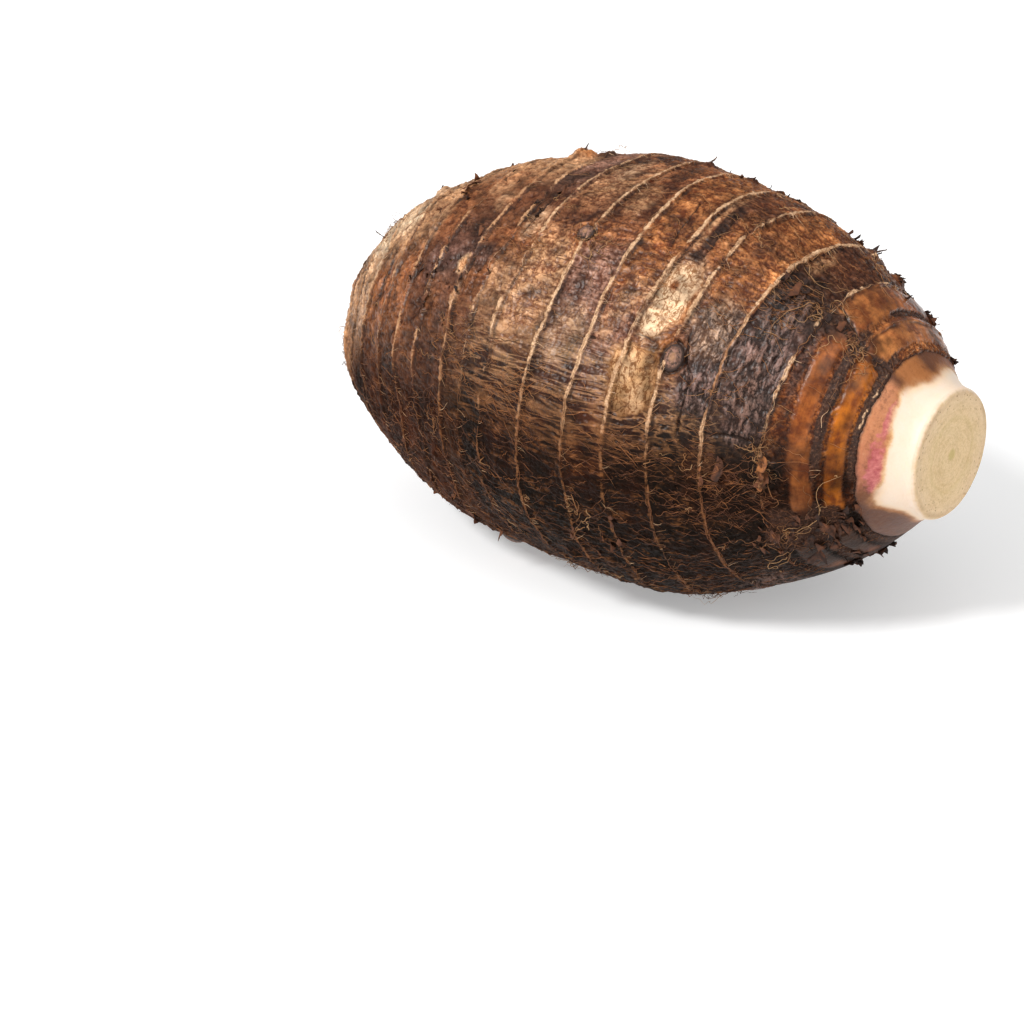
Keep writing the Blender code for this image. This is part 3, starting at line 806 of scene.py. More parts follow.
def neck_piece(shape, tones):
    """The neck from the last scar to the middle of the cut: thin blushed skin, a peeled edge, then smooth
    flesh.

    The skin ends along a wavering line and stands a little proud of the flesh. The cut face has faint rings,
    which are cosines of the distance from the middle with a wavering phase, and its rim is bevelled.
    """
    columns = 480
    turn = columns_of(columns)
    start = scar_runs(turn)[-1] + INTO_DITCH - TUCK
    wall_end = OUTLINE.rim - 0.6 * MM
    wall = start + (wall_end - start) * np.linspace(0, 1, 104)[:, None]
    face = wall_end + (OUTLINE.end - 0.15 * MM - wall_end) * np.linspace(0, 1, 92)[1:, None]
    run = np.concatenate([wall, face + 0 * turn])
    lay = wrapped(run, turn)
    radius = OUTLINE.at(run, OUTLINE.radius)
    broad = layered(lay, 12 * MM, 2, 81)
    fine = layered(lay, pitch(6, 1.3), 3, 82)
    station = OUTLINE.at(run, OUTLINE.x) / LENGTH + 0.5
    ragged = 0.5 * ripple(lay, pitch(60, 2.4), 83) + 0.28 * ripple(lay, pitch(60, 0.7), 84)
    degrees, stations = np.array(PEEL).T
    peel = np.interp(np.degrees(turn), degrees, stations, period=360)
    past_peel = (station - peel) * LENGTH / MM + 0.55 * ragged + 0.5 * broad
    skin_share = ease(0.6, -0.5, past_peel)
    on_face = ease(OUTLINE.rim + 1.2 * MM, OUTLINE.rim + 2.0 * MM, run)
    disc = np.stack([radius * np.cos(turn), radius * np.sin(turn), 0 * radius], axis=-1)
    phase = radius / (2.3 * MM) + 1.1 * ripple(disc, 9 * MM, 86) + 0.3 * ripple(disc, 2.5 * MM, 87)
    rings = np.cos(phase * 2 * math.pi) * on_face
    knife = layered(disc, 1.5 * MM, 2, 85)
    height = lump_height(run, turn) * ease(0.985, 0.935, station)
    height = height + 0.12 * MM * skin_share + 0.05 * MM * fine * (0.5 + skin_share)
    height = height + 0.25 * MM * broad * (1 - on_face) - 0.25 * MM * ease(3.0 * MM, 0, run - start)
    height = height + on_face * (0.02 * MM * rings + 0.06 * MM * knife)
    outside = np.maximum(TUCK - (run - start), 0)
    height = height - np.where(outside > 1e-7, 0.02 * MM + 1.1 * outside, 0)
    side_blush = np.maximum(spot(run, turn, 0.953, 52, 1.5, 7, 2.2), spot(run, turn, 0.95, 86, 2.7, 9, 2.4))
    blush = np.maximum(side_blush + 0.7 * fine, spot(run, turn, 0.952, -110, 3.0, 10, 2.0) + 0.4 * fine)
    wavering_run = run + 1.5 * MM * broad + 0.9 * MM * fine
    marks = {
        "past_peel": past_peel,
        "on_face": ease(OUTLINE.rim - 0.2 * MM, OUTLINE.rim + 1.8 * MM, wavering_run),
        "middle": radius / CUT_RADIUS,
        "rings": rings,
        "blush": ease(0.0, 1.25, blush),
        # Painted shade where the neck sinks under the skin's last drum.
        "hollow": ease(1.6 * MM, 0.5 * MM, run - start),
        "golden": ease(36, 26, off_top(turn)) + ease(94.5, 108.9, np.degrees(turn)) + 0 * run,
        "paint": ring_colours(turn + 0 * run, NECK_TONES, tones),
        "lay": lay,
    }
    points = place(run, turn, height)
    points[..., 0] += shape.cut_slant * (points[..., 1] - AXIS[1]) * ease(0.97, 1.0, station)
    return ringed("neck", points, points[0].mean(axis=0), points[-1].mean(axis=0), marks)


def bud_pieces():
    """All the side buds as one mesh of closed polar domes.

    Each is H (1 - r^2) with scales, a softened sawtooth in r that wavers round, and a sunken tip. Past r = 1
    it dives under the skin.
    """
    rings, spokes = 30, 60
    r = np.linspace(0, 1.12, rings + 1)[1:, None]
    around = np.arange(spokes) * 2 * math.pi / spokes
    faces, points, marks = [], [], {"r": [], "step": [], "lay": []}
    for number, (station, degrees, half_length, half_breadth, rise) in enumerate(BUDS):
        run = OUTLINE.of_station(station) + r * half_length * MM * np.cos(around)
        across = r * half_breadth * MM * np.sin(around)
        turn = math.radians(degrees) + across / OUTLINE.at(run, OUTLINE.radius)
        at = np.stack([r * np.cos(around), r * np.sin(around), 0 * r * around + number * 3.1], -1)
        wobble = ripple(at, 0.6, 91)
        fine = ripple(at, 0.16, 92)
        scale = (r * 2.7 + 0.9 * wobble + 0.25 * np.cos(around + number) + 0.1 * fine) % 1.0
        step = ease(0.0, 0.3, scale) * (1 - scale)
        height = rise * (1 - r**2) + 0.24 * step * ease(0, 0.25, r) * ease(1.1, 0.8, r)
        height = height + 0.16 * wobble + 0.1 * fine
        height = height - 2.2 * np.maximum(r - 0.98, 0) / 0.14 - 0.35 * np.exp(-((r / 0.3) ** 2))
        height = height * MM + lump_height(run, turn)
        at_middle = OUTLINE.of_station(station), math.radians(degrees)
        top = place(*at_middle, (rise - 0.35) * MM + lump_height(*at_middle))
        below = place(*at_middle, -2.5 * MM + lump_height(*at_middle))
        dots = np.concatenate([place(run, turn, height).reshape(-1, 3), [top, below]])
        base = number * len(dots)
        index = base + np.arange(rings * spokes).reshape(rings, spokes)
        after = np.roll(index, -1, axis=1)
        faces.append(np.stack([index[:-1], index[1:], after[1:], after[:-1]], axis=-1).reshape(-1, 4))
        faces.append(np.stack([np.full(spokes, base + rings * spokes), index[0], after[0]], -1))
        faces.append(np.stack([np.full(spokes, base + rings * spokes + 1), after[-1], index[-1]], -1))
        points.append(dots)
        marks["r"].append(np.concatenate([np.broadcast_to(r, run.shape).ravel(), [0, 1.1]]))
        marks["step"].append(np.concatenate([step.ravel(), [0.5, 0]]))
        marks["lay"].append(dots)
    marks = {key: np.concatenate(values) for key, values in marks.items()}
    return mesh_of("side_buds", np.concatenate(points), faces, None, marks)


def strands(name, paths, outward, width, thickness, tint, sides=3):
    """Many fibres as one mesh. Each is a path swept by a small polygon, as wide as given, and closed at both
    ends.

    paths and outward are (fibres, points, 3); width and thickness are (fibres, points); tint is one for each
    fibre.
    """
    count, length = paths.shape[:2]
    along = np.gradient(paths, axis=1)
    along /= np.maximum(np.linalg.norm(along, axis=-1, keepdims=True), 1e-9)
    side = np.cross(along, outward)
    side /= np.maximum(np.linalg.norm(side, axis=-1, keepdims=True), 1e-9)
    up = np.cross(side, along)
    angle = math.pi / 2 + np.arange(sides) * 2 * math.pi / sides
    rings = paths[:, :, None] + side[:, :, None] * (np.cos(angle)[:, None] * width[:, :, None, None] / 2)
    rings = rings + up[:, :, None] * (np.sin(angle)[:, None] * thickness[:, :, None, None] / 2)
    rings[..., 2] = np.maximum(rings[..., 2], LOW.z)
    index = np.arange(count * length * sides).reshape(count, length, sides)
    after = np.roll(index, -1, axis=2)
    quads = np.stack([index[:, :-1], index[:, 1:], after[:, 1:], after[:, :-1]], axis=-1).reshape(-1, 4)
    ends = [index[:, 0], index[:, -1, ::-1]]
    # Each fibre has its own small cell of the map.
    cells = math.ceil(math.sqrt(count))
    corner = np.stack([np.arange(count) % cells, np.arange(count) // cells], -1) / cells
    size = 0.9 / cells
    t = np.linspace(0, 1, length)
    s = np.linspace(0, 1, sides + 1)
    grid = np.stack(np.meshgrid(t, s, indexing="ij"), -1) * size
    patch = np.stack([grid[:-1, :-1], grid[1:, :-1], grid[1:, 1:], grid[:-1, 1:]], axis=2)
    uv = [(corner[:, None, None, None] + patch).reshape(-1, 2)]
    uv += [np.repeat(corner + size / 2, sides, axis=0)] * 2
    tints = np.repeat(tint, length * sides)
    return mesh_of(name, rings.reshape(-1, 3), [quads, *ends], np.concatenate(uv), {"tint": tints})


def outward_at(run, turn):
    """The skin's outward direction, without its relief."""
    run, turn = np.broadcast_arrays(run, turn)
    lean = OUTLINE.at(run, OUTLINE.slope_x)
    forward = -OUTLINE.at(run, OUTLINE.slope_radius)
    return np.stack([forward, -lean * np.sin(turn), lean * np.cos(turn)], axis=-1)


def tapered(count, length, widest):
    """Widths along each fibre: sin(pi t) to the power 0.4, never quite 0."""
    t = np.linspace(0.03, 0.97, length)
    return widest[:, None] * np.sin(math.pi * t) ** 0.4


# Fibres and threads start between the rear tip and this run, short of the neck.
FIBRE_END = OUTLINE.rim - 16 * MM


def drawn(random, amount, weight):
    """Random places on the skin, kept in proportion to the weight that a function gives each."""
    run = random.uniform(10 * MM, FIBRE_END, amount * 8)
    turn = random.uniform(-math.pi, math.pi, amount * 8)
    share = weight(run, turn) * OUTLINE.at(run, OUTLINE.radius) / GIRTH_RADIUS
    kept = random.uniform(0, 1, amount * 8) < share
    return run[kept][:amount], turn[kept][:amount]


# Where fine fibres lie thick: station, degrees, half length and half breadth in mm, and squareness.
FUZZ = (
    (0.72, 28, 5, 11, 2), (0.63, 32, 4, 10, 2), (0.69, 16, 3, 12, 2), (0.41, 38, 5, 7, 2),
    (0.53, 33, 8, 3, 2), (0.79, 30, 6, 12, 2), (0.63, 88, 9, 7, 2), (0.75, 98, 9, 8, 2), (0.8, 96, 8, 9, 2),
    (0.36, 70, 10, 8, 2), (0.48, 78, 8, 8, 2), (0.5, -80, 14, 12, 2), (0.7, -60, 14, 12, 2),
    (0.6, 170, 14, 12, 2),
)


def band_fibres(shape):
    """Fine fibres that lie lengthwise on the bands, densest low on the sides and in the fuzzy spots.

    Each runs along the skin with a slow sideways sine and a bend, and its middle is lifted a hair's breadth.
    """
    random = np.random.default_rng(5)

    def weight(run, turn):
        station = OUTLINE.at(run, OUTLINE.x) / LENGTH + 0.5
        low_side = ease(66, 92, off_top(turn))
        fuzz = ease(0.2, 0.9, union(run, turn, FUZZ, 0))
        clear = 1 - 0.9 * ease(0.855, 0.875, station)
        clear = clear * (1 - 0.8 * ease(0.5, 0.8, union(run, turn, WORN[:3], 0)))
        return (0.08 + 0.25 * low_side + 1.3 * fuzz) * clear * belly_fade(turn)

    run, turn = drawn(random, shape.band_fibre_count, weight)
    count, length = len(run), 8
    t = np.linspace(0, 1, length)
    reach = random.gamma(4.0, 1.1, count)[:, None] * MM + 1.5 * MM
    drift = random.normal(0.12, 0.35, (count, 1))
    bend = random.normal(0, 0.3, (count, 1))
    wave = random.normal(0, 0.3, (count, 2)) * MM
    along = run[:, None] + reach * t
    across = (drift * t + bend * t**2) * reach
    across = across + wave[:, :1] * np.sin(math.pi * t * 2) + wave[:, 1:] * np.sin(math.pi * t * 5)
    around = turn[:, None] + across / OUTLINE.at(along, OUTLINE.radius)
    height, _ = skin(along, around, shape)
    smooth = (height + np.roll(height, 1, axis=1) + np.roll(height, -1, axis=1)) / 3
    smooth[:, [0, -1]] = height[:, [0, -1]]
    lift = random.uniform(0.0, 0.14, (count, 1)) * np.sin(math.pi * t) * MM + 0.02 * MM
    paths = place(along, around, np.maximum(smooth, height) + lift)
    widths = tapered(count, length, random.uniform(0.5, 1.4, count) * shape.fibre_width)
    tint = random.uniform(0, 1, count) * (1 - 0.6 * low_share(turn))
    return strands("band_fibres", paths, outward_at(along, around), widths, widths * 0.7, tint)


def scar_fringe(shape):
    """Short fibres that lean out of each scar's edge over its ditch, in loose tufts that each lean one
    way."""
    random = np.random.default_rng(6)
    number = random.integers(2, len(SCARS) - 1, shape.fringe_count)
    turn = random.uniform(-math.pi, math.pi, shape.fringe_count)
    edge = scar_runs(turn)[number, np.arange(len(turn))]
    radius = OUTLINE.at(edge, OUTLINE.radius)
    at = np.stack([number * 1.0, turn * radius / (4 * MM), 0 * turn], -1)
    tufts = ripple(at, 1.0, 7)
    thick = (0.25 + 1.1 * tufts) * (0.35 + 0.65 * SCARS[number, 3]) * radius / GIRTH_RADIUS
    keep = random.uniform(0, 1, len(turn)) < thick
    keep &= random.uniform(0, 1, len(turn)) < belly_fade(turn)
    turn, edge, radius, at = turn[keep], edge[keep], radius[keep], at[keep]
    count, length = len(turn), 6
    t = np.linspace(0, 1, length)
    back = random.uniform(0.2, 1.6, count)[:, None] * MM
    reach = random.gamma(3.0, 0.45, count)[:, None] * MM + 0.3 * MM
    slant = (1.3 * ripple(at, 0.7, 8) + random.normal(0, 0.35, count))[:, None]
    curl = random.normal(0, 0.5, count)[:, None]
    along = edge[:, None] - back + (back + reach) * t
    across = (slant * t + curl * t**2) * (back + reach)
    around = turn[:, None] + across / radius[:, None]
    height, _ = skin(along, around, shape)
    bridge = height[:, :1] * (1 - t) + height[:, -1:] * t
    lift = random.uniform(0.0, 0.22, count)[:, None] * t * MM * (1.2 - t)
    paths = place(along, around, np.maximum(height, bridge) + lift + 0.01 * MM)
    widths = tapered(count, length, random.uniform(0.5, 1.1, count) * shape.fibre_width)
    tint = random.beta(1.8, 2.2, count)
    return strands("scar_fringe", paths, outward_at(along, around), widths, widths * 0.8, tint)


def scar_strands(shape):
    """Longer fibres that run round the corm along the scars' edges, weaving over one another."""
    random = np.random.default_rng(7)
    number = random.integers(2, len(SCARS), shape.strand_count)
    turn = random.uniform(-math.pi, math.pi, shape.strand_count)
    shown = random.uniform(0, 1, len(turn)) < SCARS[number, 3] ** 1.5 * belly_fade(turn)
    number, turn = number[shown], turn[shown]
    count, length = len(turn), 12
    t = np.linspace(0, 1, length)
    radius = OUTLINE.at(scar_runs(turn)[number, np.arange(count)], OUTLINE.radius)
    reach = random.gamma(4.0, 1.6, count) * MM + 2 * MM
    around = turn[:, None] + reach[:, None] * t / radius[:, None]
    own_scar = np.broadcast_to(number[None, :, None], (1, count, length))
    scar_line = np.take_along_axis(scar_runs(around), own_scar, axis=0)[0]
    phase = math.pi * (t * random.uniform(1, 3, (count, 1)) + random.uniform(0, 1, (count, 1)))
    sway = random.normal(0, 0.3, (count, 1)) * np.sin(phase)
    along = scar_line + (sway + random.normal(-0.55, 0.28, (count, 1))) * MM
    height, _ = skin(along, around, shape)
    lift = random.uniform(0.0, 0.08, (count, 1)) * np.sin(math.pi * t) * MM
    paths = place(along, around, height + lift)
    widths = tapered(count, length, random.uniform(0.6, 1.5, count) * shape.fibre_width)
    leather = ease(0.3, 0.7, union(along[:, 0], turn, LEATHER, 0))
    tint = random.beta(2.4, 1.8, count) * (1 - 0.85 * low_share(turn)) * (1 - 0.6 * leather)
    widths = widths * (1 - 0.4 * leather[:, None])
    return strands("scar_strands", paths, outward_at(along, around), widths, widths * 0.5, tint)


# Tufts of root threads: station, degrees, spread in mm, how many, length in mm and how far they stand off in
# mm.
TUFTS = (
    (0.836, 83, 2, 22, 6, 1.4), (0.842, 92, 2, 16, 6, 1.2), (0.772, 84, 5, 3, 5, 0.6),
    (0.832, 78, 2, 5, 5, 0.8), (0.70, 86, 4, 4, 5, 0.6), (0.80, 8, 3.6, 14, 9, 0.9),
    (0.845, 22, 3, 12, 12, 0.9), (0.88, 30, 2.6, 10, 11, 0.9), (0.905, 34, 2.2, 8, 7, 0.7),
    (0.815, -28, 2.6, 5, 7, 2), (0.40, -14, 2.2, 3, 6, 0.8), (0.535, 36, 3, 10, 7, 0.5),
    (0.51, 31, 2.6, 8, 5, 0.5), (0.715, 10, 4, 10, 6, 0.5), (0.86, 120, 6, 16, 10, 1.4),
    (0.6, 110, 6, 14, 8, 0.8), (0.33, 100, 7, 14, 9, 1), (0.12, 20, 7, 14, 6, 1.2), (0.2, -60, 7, 16, 9, 1.4),
    (0.45, -90, 6, 14, 9, 1.2), (0.63, -120, 6, 16, 9, 1.2), (0.8, -110, 5, 18, 10, 1.4),
    (0.72, 150, 6, 14, 9, 1.2), (0.5, 150, 6, 12, 9, 1), (0.3, 170, 6, 10, 9, 0.8), (0.05, 100, 6, 12, 6, 1),
    (0.88, -70, 4, 14, 9, 1.2),
)


def root_threads(shape):
    """Curly threads, in tufts and loose. Each leaves the skin, wanders as its heading swings by sines, and
    comes back or ends free."""
    random = np.random.default_rng(8)
    rows = []
    for station, degrees, spread, number, reach, stand in TUFTS:
        run = OUTLINE.of_station(station) + random.normal(0, spread / 2, number) * MM
        radius = OUTLINE.at(run, OUTLINE.radius)
        turn = math.radians(degrees) + random.normal(0, spread / 2, number) * MM / radius
        long = random.gamma(5, reach / 5, number) * MM
        rows.append(np.stack([run, turn, long, random.gamma(2, stand / 2, number) * MM], -1))
    loose = shape.thread_count
    run = random.uniform(12 * MM, FIBRE_END, loose)
    turn = random.uniform(-math.pi, math.pi, loose)
    long = random.gamma(4, 1.7, loose) * MM
    rows.append(np.stack([run, turn, long, random.gamma(2, 0.22, loose) * MM], -1))
    run, turn, reach, stand = np.concatenate(rows).T
    count, length = len(run), 16
    t = np.linspace(0, 1, length)
    heading = random.uniform(-math.pi, math.pi, (count, 1))
    swing = random.normal(0, 1.1, (count, 1)) * np.sin(2.2 * t * math.pi + random.uniform(0, 6, (count, 1)))
    quick = random.normal(0, 0.7, (count, 1))
    swing = swing + quick * np.sin(5.5 * t * math.pi + random.uniform(0, 6, (count, 1)))
    heading = heading + swing + random.normal(0, 1.4, (count, 1)) * t
    step = reach[:, None] / (length - 1)
    along = run[:, None] + np.cumsum(np.cos(heading) * step, axis=1)
    across = np.cumsum(np.sin(heading) * step, axis=1)
    along = np.clip(along, 2 * MM, OUTLINE.rim - 14 * MM)
    around = turn[:, None] + across / OUTLINE.at(run, OUTLINE.radius)[:, None]
    height, _ = skin(along, around, shape)
    free_end = random.uniform(0, 1, (count, 1)) < 0.4
    arch = np.where(free_end, t**1.4, np.sin(math.pi * t))
    bumps = 0.25 * np.sin(7 * t * math.pi + random.uniform(0, 6, (count, 1))) * np.sin(math.pi * t)
    paths = place(along, around, height + stand[:, None] * np.clip(arch + bumps, 0, 2) + 0.08 * MM)
    wide = random.uniform(0.55, 1.35, count) * shape.thread_width
    widths = wide[:, None] * (1.05 - 0.65 * t)
    tint = random.uniform(0, 1, count)
    return strands("root_threads", paths, outward_at(along, around), widths, widths, tint, 4)


def twigs(shape):
    """A short bent twig on each knob that has one: a tube that narrows and curves over, as a quarter of a
    sine."""
    random = np.random.default_rng(10)
    bare = [knob for knob in KNOBS if knob[4] > 0]
    count, length = len(bare), 10
    station, degrees, _, rise, reach = np.array(bare).T[:, :, None]
    t = np.linspace(0, 1, length)
    lean = random.normal(0, 0.3, (count, 2, 1)) + np.array([0.9, 0.0])[:, None]
    kink = random.normal(0, 0.12, (count, 2, length)).cumsum(axis=2) * MM
    along = OUTLINE.of_station(station) + lean[:, 0] * reach * np.sin(t * math.pi / 2) ** 2 * MM + kink[:, 0]
    across = lean[:, 1] * reach * t**2 * MM + kink[:, 1]
    around = np.radians(degrees) + across / OUTLINE.at(along, OUTLINE.radius)
    base, _ = skin(along[:, :1], around[:, :1], shape)
    paths = place(along, around, base + (reach * t - 0.4) * MM)
    widths = np.broadcast_to((0.75 - 0.5 * t) * MM, (count, length)) * random.uniform(0.7, 1.2, (count, 1))
    tint = random.uniform(0, 0.3, count)
    # A twig itself points outwards, so its width is laid off a direction well away from that.
    return strands("twigs", paths, outward_at(along, around + 0.9), widths, widths, tint, 7)


# Clusters of torn skin: station, degrees, spread along and round in mm, how many, size and lift in mm, and
# paleness.
SHREDS = (
    (0.865, 112, 8, 6, 14, 1.4, 0.5, 0.15), (0.915, 122, 4, 5, 12, 1.2, 0.6, 0.1),
    (0.768, -36, 4, 4, 11, 1.2, 1, 0), (0.82, 118, 8, 6, 9, 1.6, 0.5, 0.2),
    (0.9, 128, 8, 8, 22, 1.8, 0.7, 0.1), (0.86, -36, 3, 7, 5, 1, 0.3, 0),
    (0.88, -48, 2, 2.5, 9, 1.1, 0.55, 0), (0.93, -52, 1.6, 2.5, 9, 1.1, 0.5, 0),
    (0.825, -42, 3, 4, 6, 1, 0.5, 0), (0.838, 86, 2.2, 4, 22, 1.5, 1.1, 0.45),
    (0.78, 88, 5, 8, 9, 1.1, 0.4, 0.3), (0.87, 25, 9, 1.5, 14, 1, 0.3, 0.1),
    (0.6, -24, 14, 6, 6, 0.9, 0.4, 0), (0.41, 22, 2, 9, 10, 1, 0.3, 0), (0.25, 10, 16, 14, 20, 0.9, 0.1, 0.2),
    (0.3, 50, 16, 14, 34, 0.9, 0.15, 0.2), (0.88, -110, 8, 22, 24, 1.7, 0.6, 0),
    (0.9, 175, 8, 20, 24, 1.7, 0.6, 0), (0.6, 115, 20, 7, 14, 1.2, 0.3, 0.2),
    (0.3, 130, 20, 16, 18, 1.2, 0.3, 0.2), (0.5, -120, 30, 20, 24, 1.2, 0.3, 0.2),
    (0.15, -60, 16, 20, 18, 1.1, 0.3, 0.2), (0.7, -90, 16, 20, 16, 1.2, 0.3, 0.2),
    (0.80, 24, 4, 5, 8, 1.3, 0.5, 0.1),
)


def skin_shreds(shape):
    """Torn flaps of dead skin. Each is a bent sheet that leaves the skin along its root and has a ragged
    free edge."""
    random = np.random.default_rng(9)
    rows = []
    for station, degrees, spread_along, spread_round, number, size, stand, pale in SHREDS:
        run = OUTLINE.of_station(station) + random.normal(0, spread_along / 2, number) * MM
        across = random.normal(0, spread_round / 2, number) * MM
        turn = math.radians(degrees) + across / OUTLINE.at(run, OUTLINE.radius)
        tall = random.gamma(5, size / 5, number) * MM
        tint = random.uniform(0, 0.4, number) + pale
        rows.append(np.stack([run, turn, tall, random.gamma(3, stand / 3, number) * MM, tint], -1))
    run, turn, tall, stand, tint = np.concatenate(rows).T
    run = np.clip(run, 4 * MM, OUTLINE.rim - 15 * MM)
    scars = scar_runs(turn)
    nearest = scars[np.abs(scars - run).argmin(axis=0), np.arange(len(run))]
    run = np.where(np.abs(nearest - run) < 2.5 * MM, nearest - 0.5 * MM, run)
    count, rows, columns = len(turn), 6, 6
    v, u = np.meshgrid(np.linspace(0, 1, rows), np.linspace(-1, 1, columns), indexing="ij")
    wide = random.uniform(0.5, 1.2, (count, 1, 1)) * tall[:, None, None]
    ragged = np.clip(random.normal(0.9, 0.12, (count, 1, columns)), 0.6, 1.2) * (1 - 0.25 * u[0] ** 2)
    heading = random.normal(0, 0.6, (count, 1, 1))
    onward = v * tall[:, None, None] * ragged
    sideways = u * wide * (1 - 0.45 * v**3)
    along = run[:, None, None] + onward * np.cos(heading) - sideways * np.sin(heading)
    across = onward * np.sin(heading) + sideways * np.cos(heading)
    along = np.clip(along, 2 * MM, OUTLINE.rim - 8 * MM)
    around = turn[:, None, None] + across / OUTLINE.at(run, OUTLINE.radius)[:, None, None]
    root, _ = skin(run[:, None], turn[:, None], shape)
    curl = random.normal(0, 0.5, (count, 1, 1)) * tall[:, None, None]
    roll = random.normal(0.1, 0.25, (count, 1, 1)) * tall[:, None, None]
    height = root[:, :, None] + 0.02 * MM + stand[:, None, None] * v**1.4 + curl * v**2 * u + roll * v * u**2
    height = height + 0.12 * MM * random.normal(0, 1, (count, rows, columns)) * v
    points = place(along, around, np.maximum(height, root[:, :, None] - 0.2 * MM))
    index = np.arange(count * rows * columns).reshape(count, rows, columns)
    corners = [index[:, :-1, :-1], index[:, :-1, 1:], index[:, 1:, 1:], index[:, 1:, :-1]]
    quads = np.stack(corners, axis=-1).reshape(-1, 4)
    marks = {"tint": np.repeat(tint, rows * columns)}
    shreds = mesh_of("skin_shreds", points.reshape(-1, 3), [quads], None, marks)
    solid = shreds.modifiers.new("thickness", "SOLIDIFY")
    solid.thickness = 0.14 * MM
    solid.offset = 0
    return shreds


class Number:
    """A value that changes over a surface. Arithmetic on it adds Math nodes."""

    def __init__(self, graph, socket):
        self.graph = graph
        self.socket = socket

    def math(self, operation, *others):
        values = dict(enumerate((self, *others)))
        node = self.graph.node("ShaderNodeMath", {"operation": operation}, values)
        return Number(self.graph, node.outputs[0])

    def __add__(self, other):
        return self.math("ADD", other)

    def __radd__(self, other):
        return self.math("ADD", other)

    def __sub__(self, other):
        return self.math("SUBTRACT", other)

    def __rsub__(self, other):
        return self.graph.number(other).math("SUBTRACT", self)

    def __mul__(self, other):
        return self.math("MULTIPLY", other)

    def __rmul__(self, other):
        return self.math("MULTIPLY", other)

    def clamped(self):
        node = self.graph.node("ShaderNodeClamp", {}, {0: self})
        return Number(self.graph, node.outputs[0])

    def eased(self, low, high):
        """0 at low, 1 at high and smooth between them."""
        falling = low > high
        first, second = (high, low) if falling else (low, high)
        settings = {"interpolation_type": "SMOOTHSTEP"}
        node = self.graph.node("ShaderNodeMapRange", settings, {0: self, 1: first, 2: second})
        found = Number(self.graph, node.outputs[0])
        return 1 - found if falling else found


class Graph:
    """A material's nodes."""

    def __init__(self, name):
        self.material = bpy.data.materials.new(name)
        self.material.use_nodes = True
        self.tree = self.material.node_tree
        self.shader = self.tree.nodes["Principled BSDF"]

    def node(self, kind, settings, values):
        """Adds a node, sets its settings first, then gives its sockets their values or links."""
        node = self.tree.nodes.new(kind)
        for key, value in settings.items():
            setattr(node, key, value)
        for key, value in values.items():
            self.feed(node.inputs[key], value)
        return node

    def feed(self, socket, value):
        source = value.socket if isinstance(value, Number) else value
        if isinstance(source, bpy.types.NodeSocket):
            self.tree.links.new(source, socket)
        else:
            socket.default_value = source

    def number(self, value):
        node = self.node("ShaderNodeValue", {}, {})
        node.outputs[0].default_value = value
        return Number(self, node.outputs[0])

    def mark(self, name):
        """A number that the mesh carries at its points."""
        return Number(self, self.node("ShaderNodeAttribute", {"attribute_name": name}, {}).outputs["Fac"])

    def vector_mark(self, name):
        """A colour or a place that the mesh carries at its points."""
        return self.node("ShaderNodeAttribute", {"attribute_name": name}, {}).outputs["Vector"]

    def vector_math(self, operation, *values):
        node = self.node("ShaderNodeVectorMath", {"operation": operation}, dict(enumerate(values)))
        return node.outputs[0]

    def stretched(self, vector, factors):
        return self.vector_math("MULTIPLY", vector, factors)

    def tinted(self, colour, factors):
        return self.vector_math("MULTIPLY", colour, factors)

    def bent(self, vector, scale, amount):
        """The vector pushed about by noise."""
        noise = self.node("ShaderNodeTexNoise", {}, {"Vector": vector, "Scale": scale, "Detail": 2.0})
        push = self.vector_math("SUBTRACT", noise.outputs["Color"], (0.5, 0.5, 0.5))
        return self.vector_math("MULTIPLY_ADD", push, (amount,) * 3, vector)

    def noise(self, vector, scale, detail=4.0, roughness=0.55):
        values = {"Vector": vector, "Scale": scale, "Detail": detail, "Roughness": roughness}
        return Number(self, self.node("ShaderNodeTexNoise", {}, values).outputs[0])

    def wrinkles(self, vector, scale, factors, width):
        """1 along the winding lines where stretched, bent noise passes through its middle value."""
        bent = self.bent(vector, scale * 0.7, 0.7 / scale)
        noise = self.noise(self.stretched(bent, factors), scale, 3.0, 0.55)
        return (noise - 0.5).math("ABSOLUTE").eased(width, 0.0)

    def scattered(self, vector, scale):
        """The distance to the nearest of many scattered points."""
        node = self.node("ShaderNodeTexVoronoi", {"feature": "F1"}, {"Vector": vector, "Scale": scale})
        return Number(self, node.outputs["Distance"])

    def mixed(self, share, first, second):
        """One colour turning into another as the share goes from 0 to 1."""
        node = self.tree.nodes.new("ShaderNodeMix")
        node.data_type = "RGBA"
        self.feed(node.inputs[0], share)
        self.feed(node.inputs[6], self.opaque(first))
        self.feed(node.inputs[7], self.opaque(second))
        return node.outputs[2]

    def opaque(self, colour):
        return colour if isinstance(colour, bpy.types.NodeSocket) else (*colour[:3], 1.0)

    def finish(self, colour, roughness, relief=None, depth=0.0, strength=1.0, constants=None):
        """Feeds the shader, with the relief as a bump of the depth given in metres."""
        self.feed(self.shader.inputs["Base Color"], colour)
        self.feed(self.shader.inputs["Roughness"], roughness)
        for key, value in (constants or {}).items():
            self.shader.inputs[key].default_value = value
        if relief is not None:
            values = {"Strength": strength, "Distance": depth, "Height": relief}
            bump = self.node("ShaderNodeBump", {}, values)
            self.feed(self.shader.inputs["Normal"], bump.outputs[0])
        return self.material


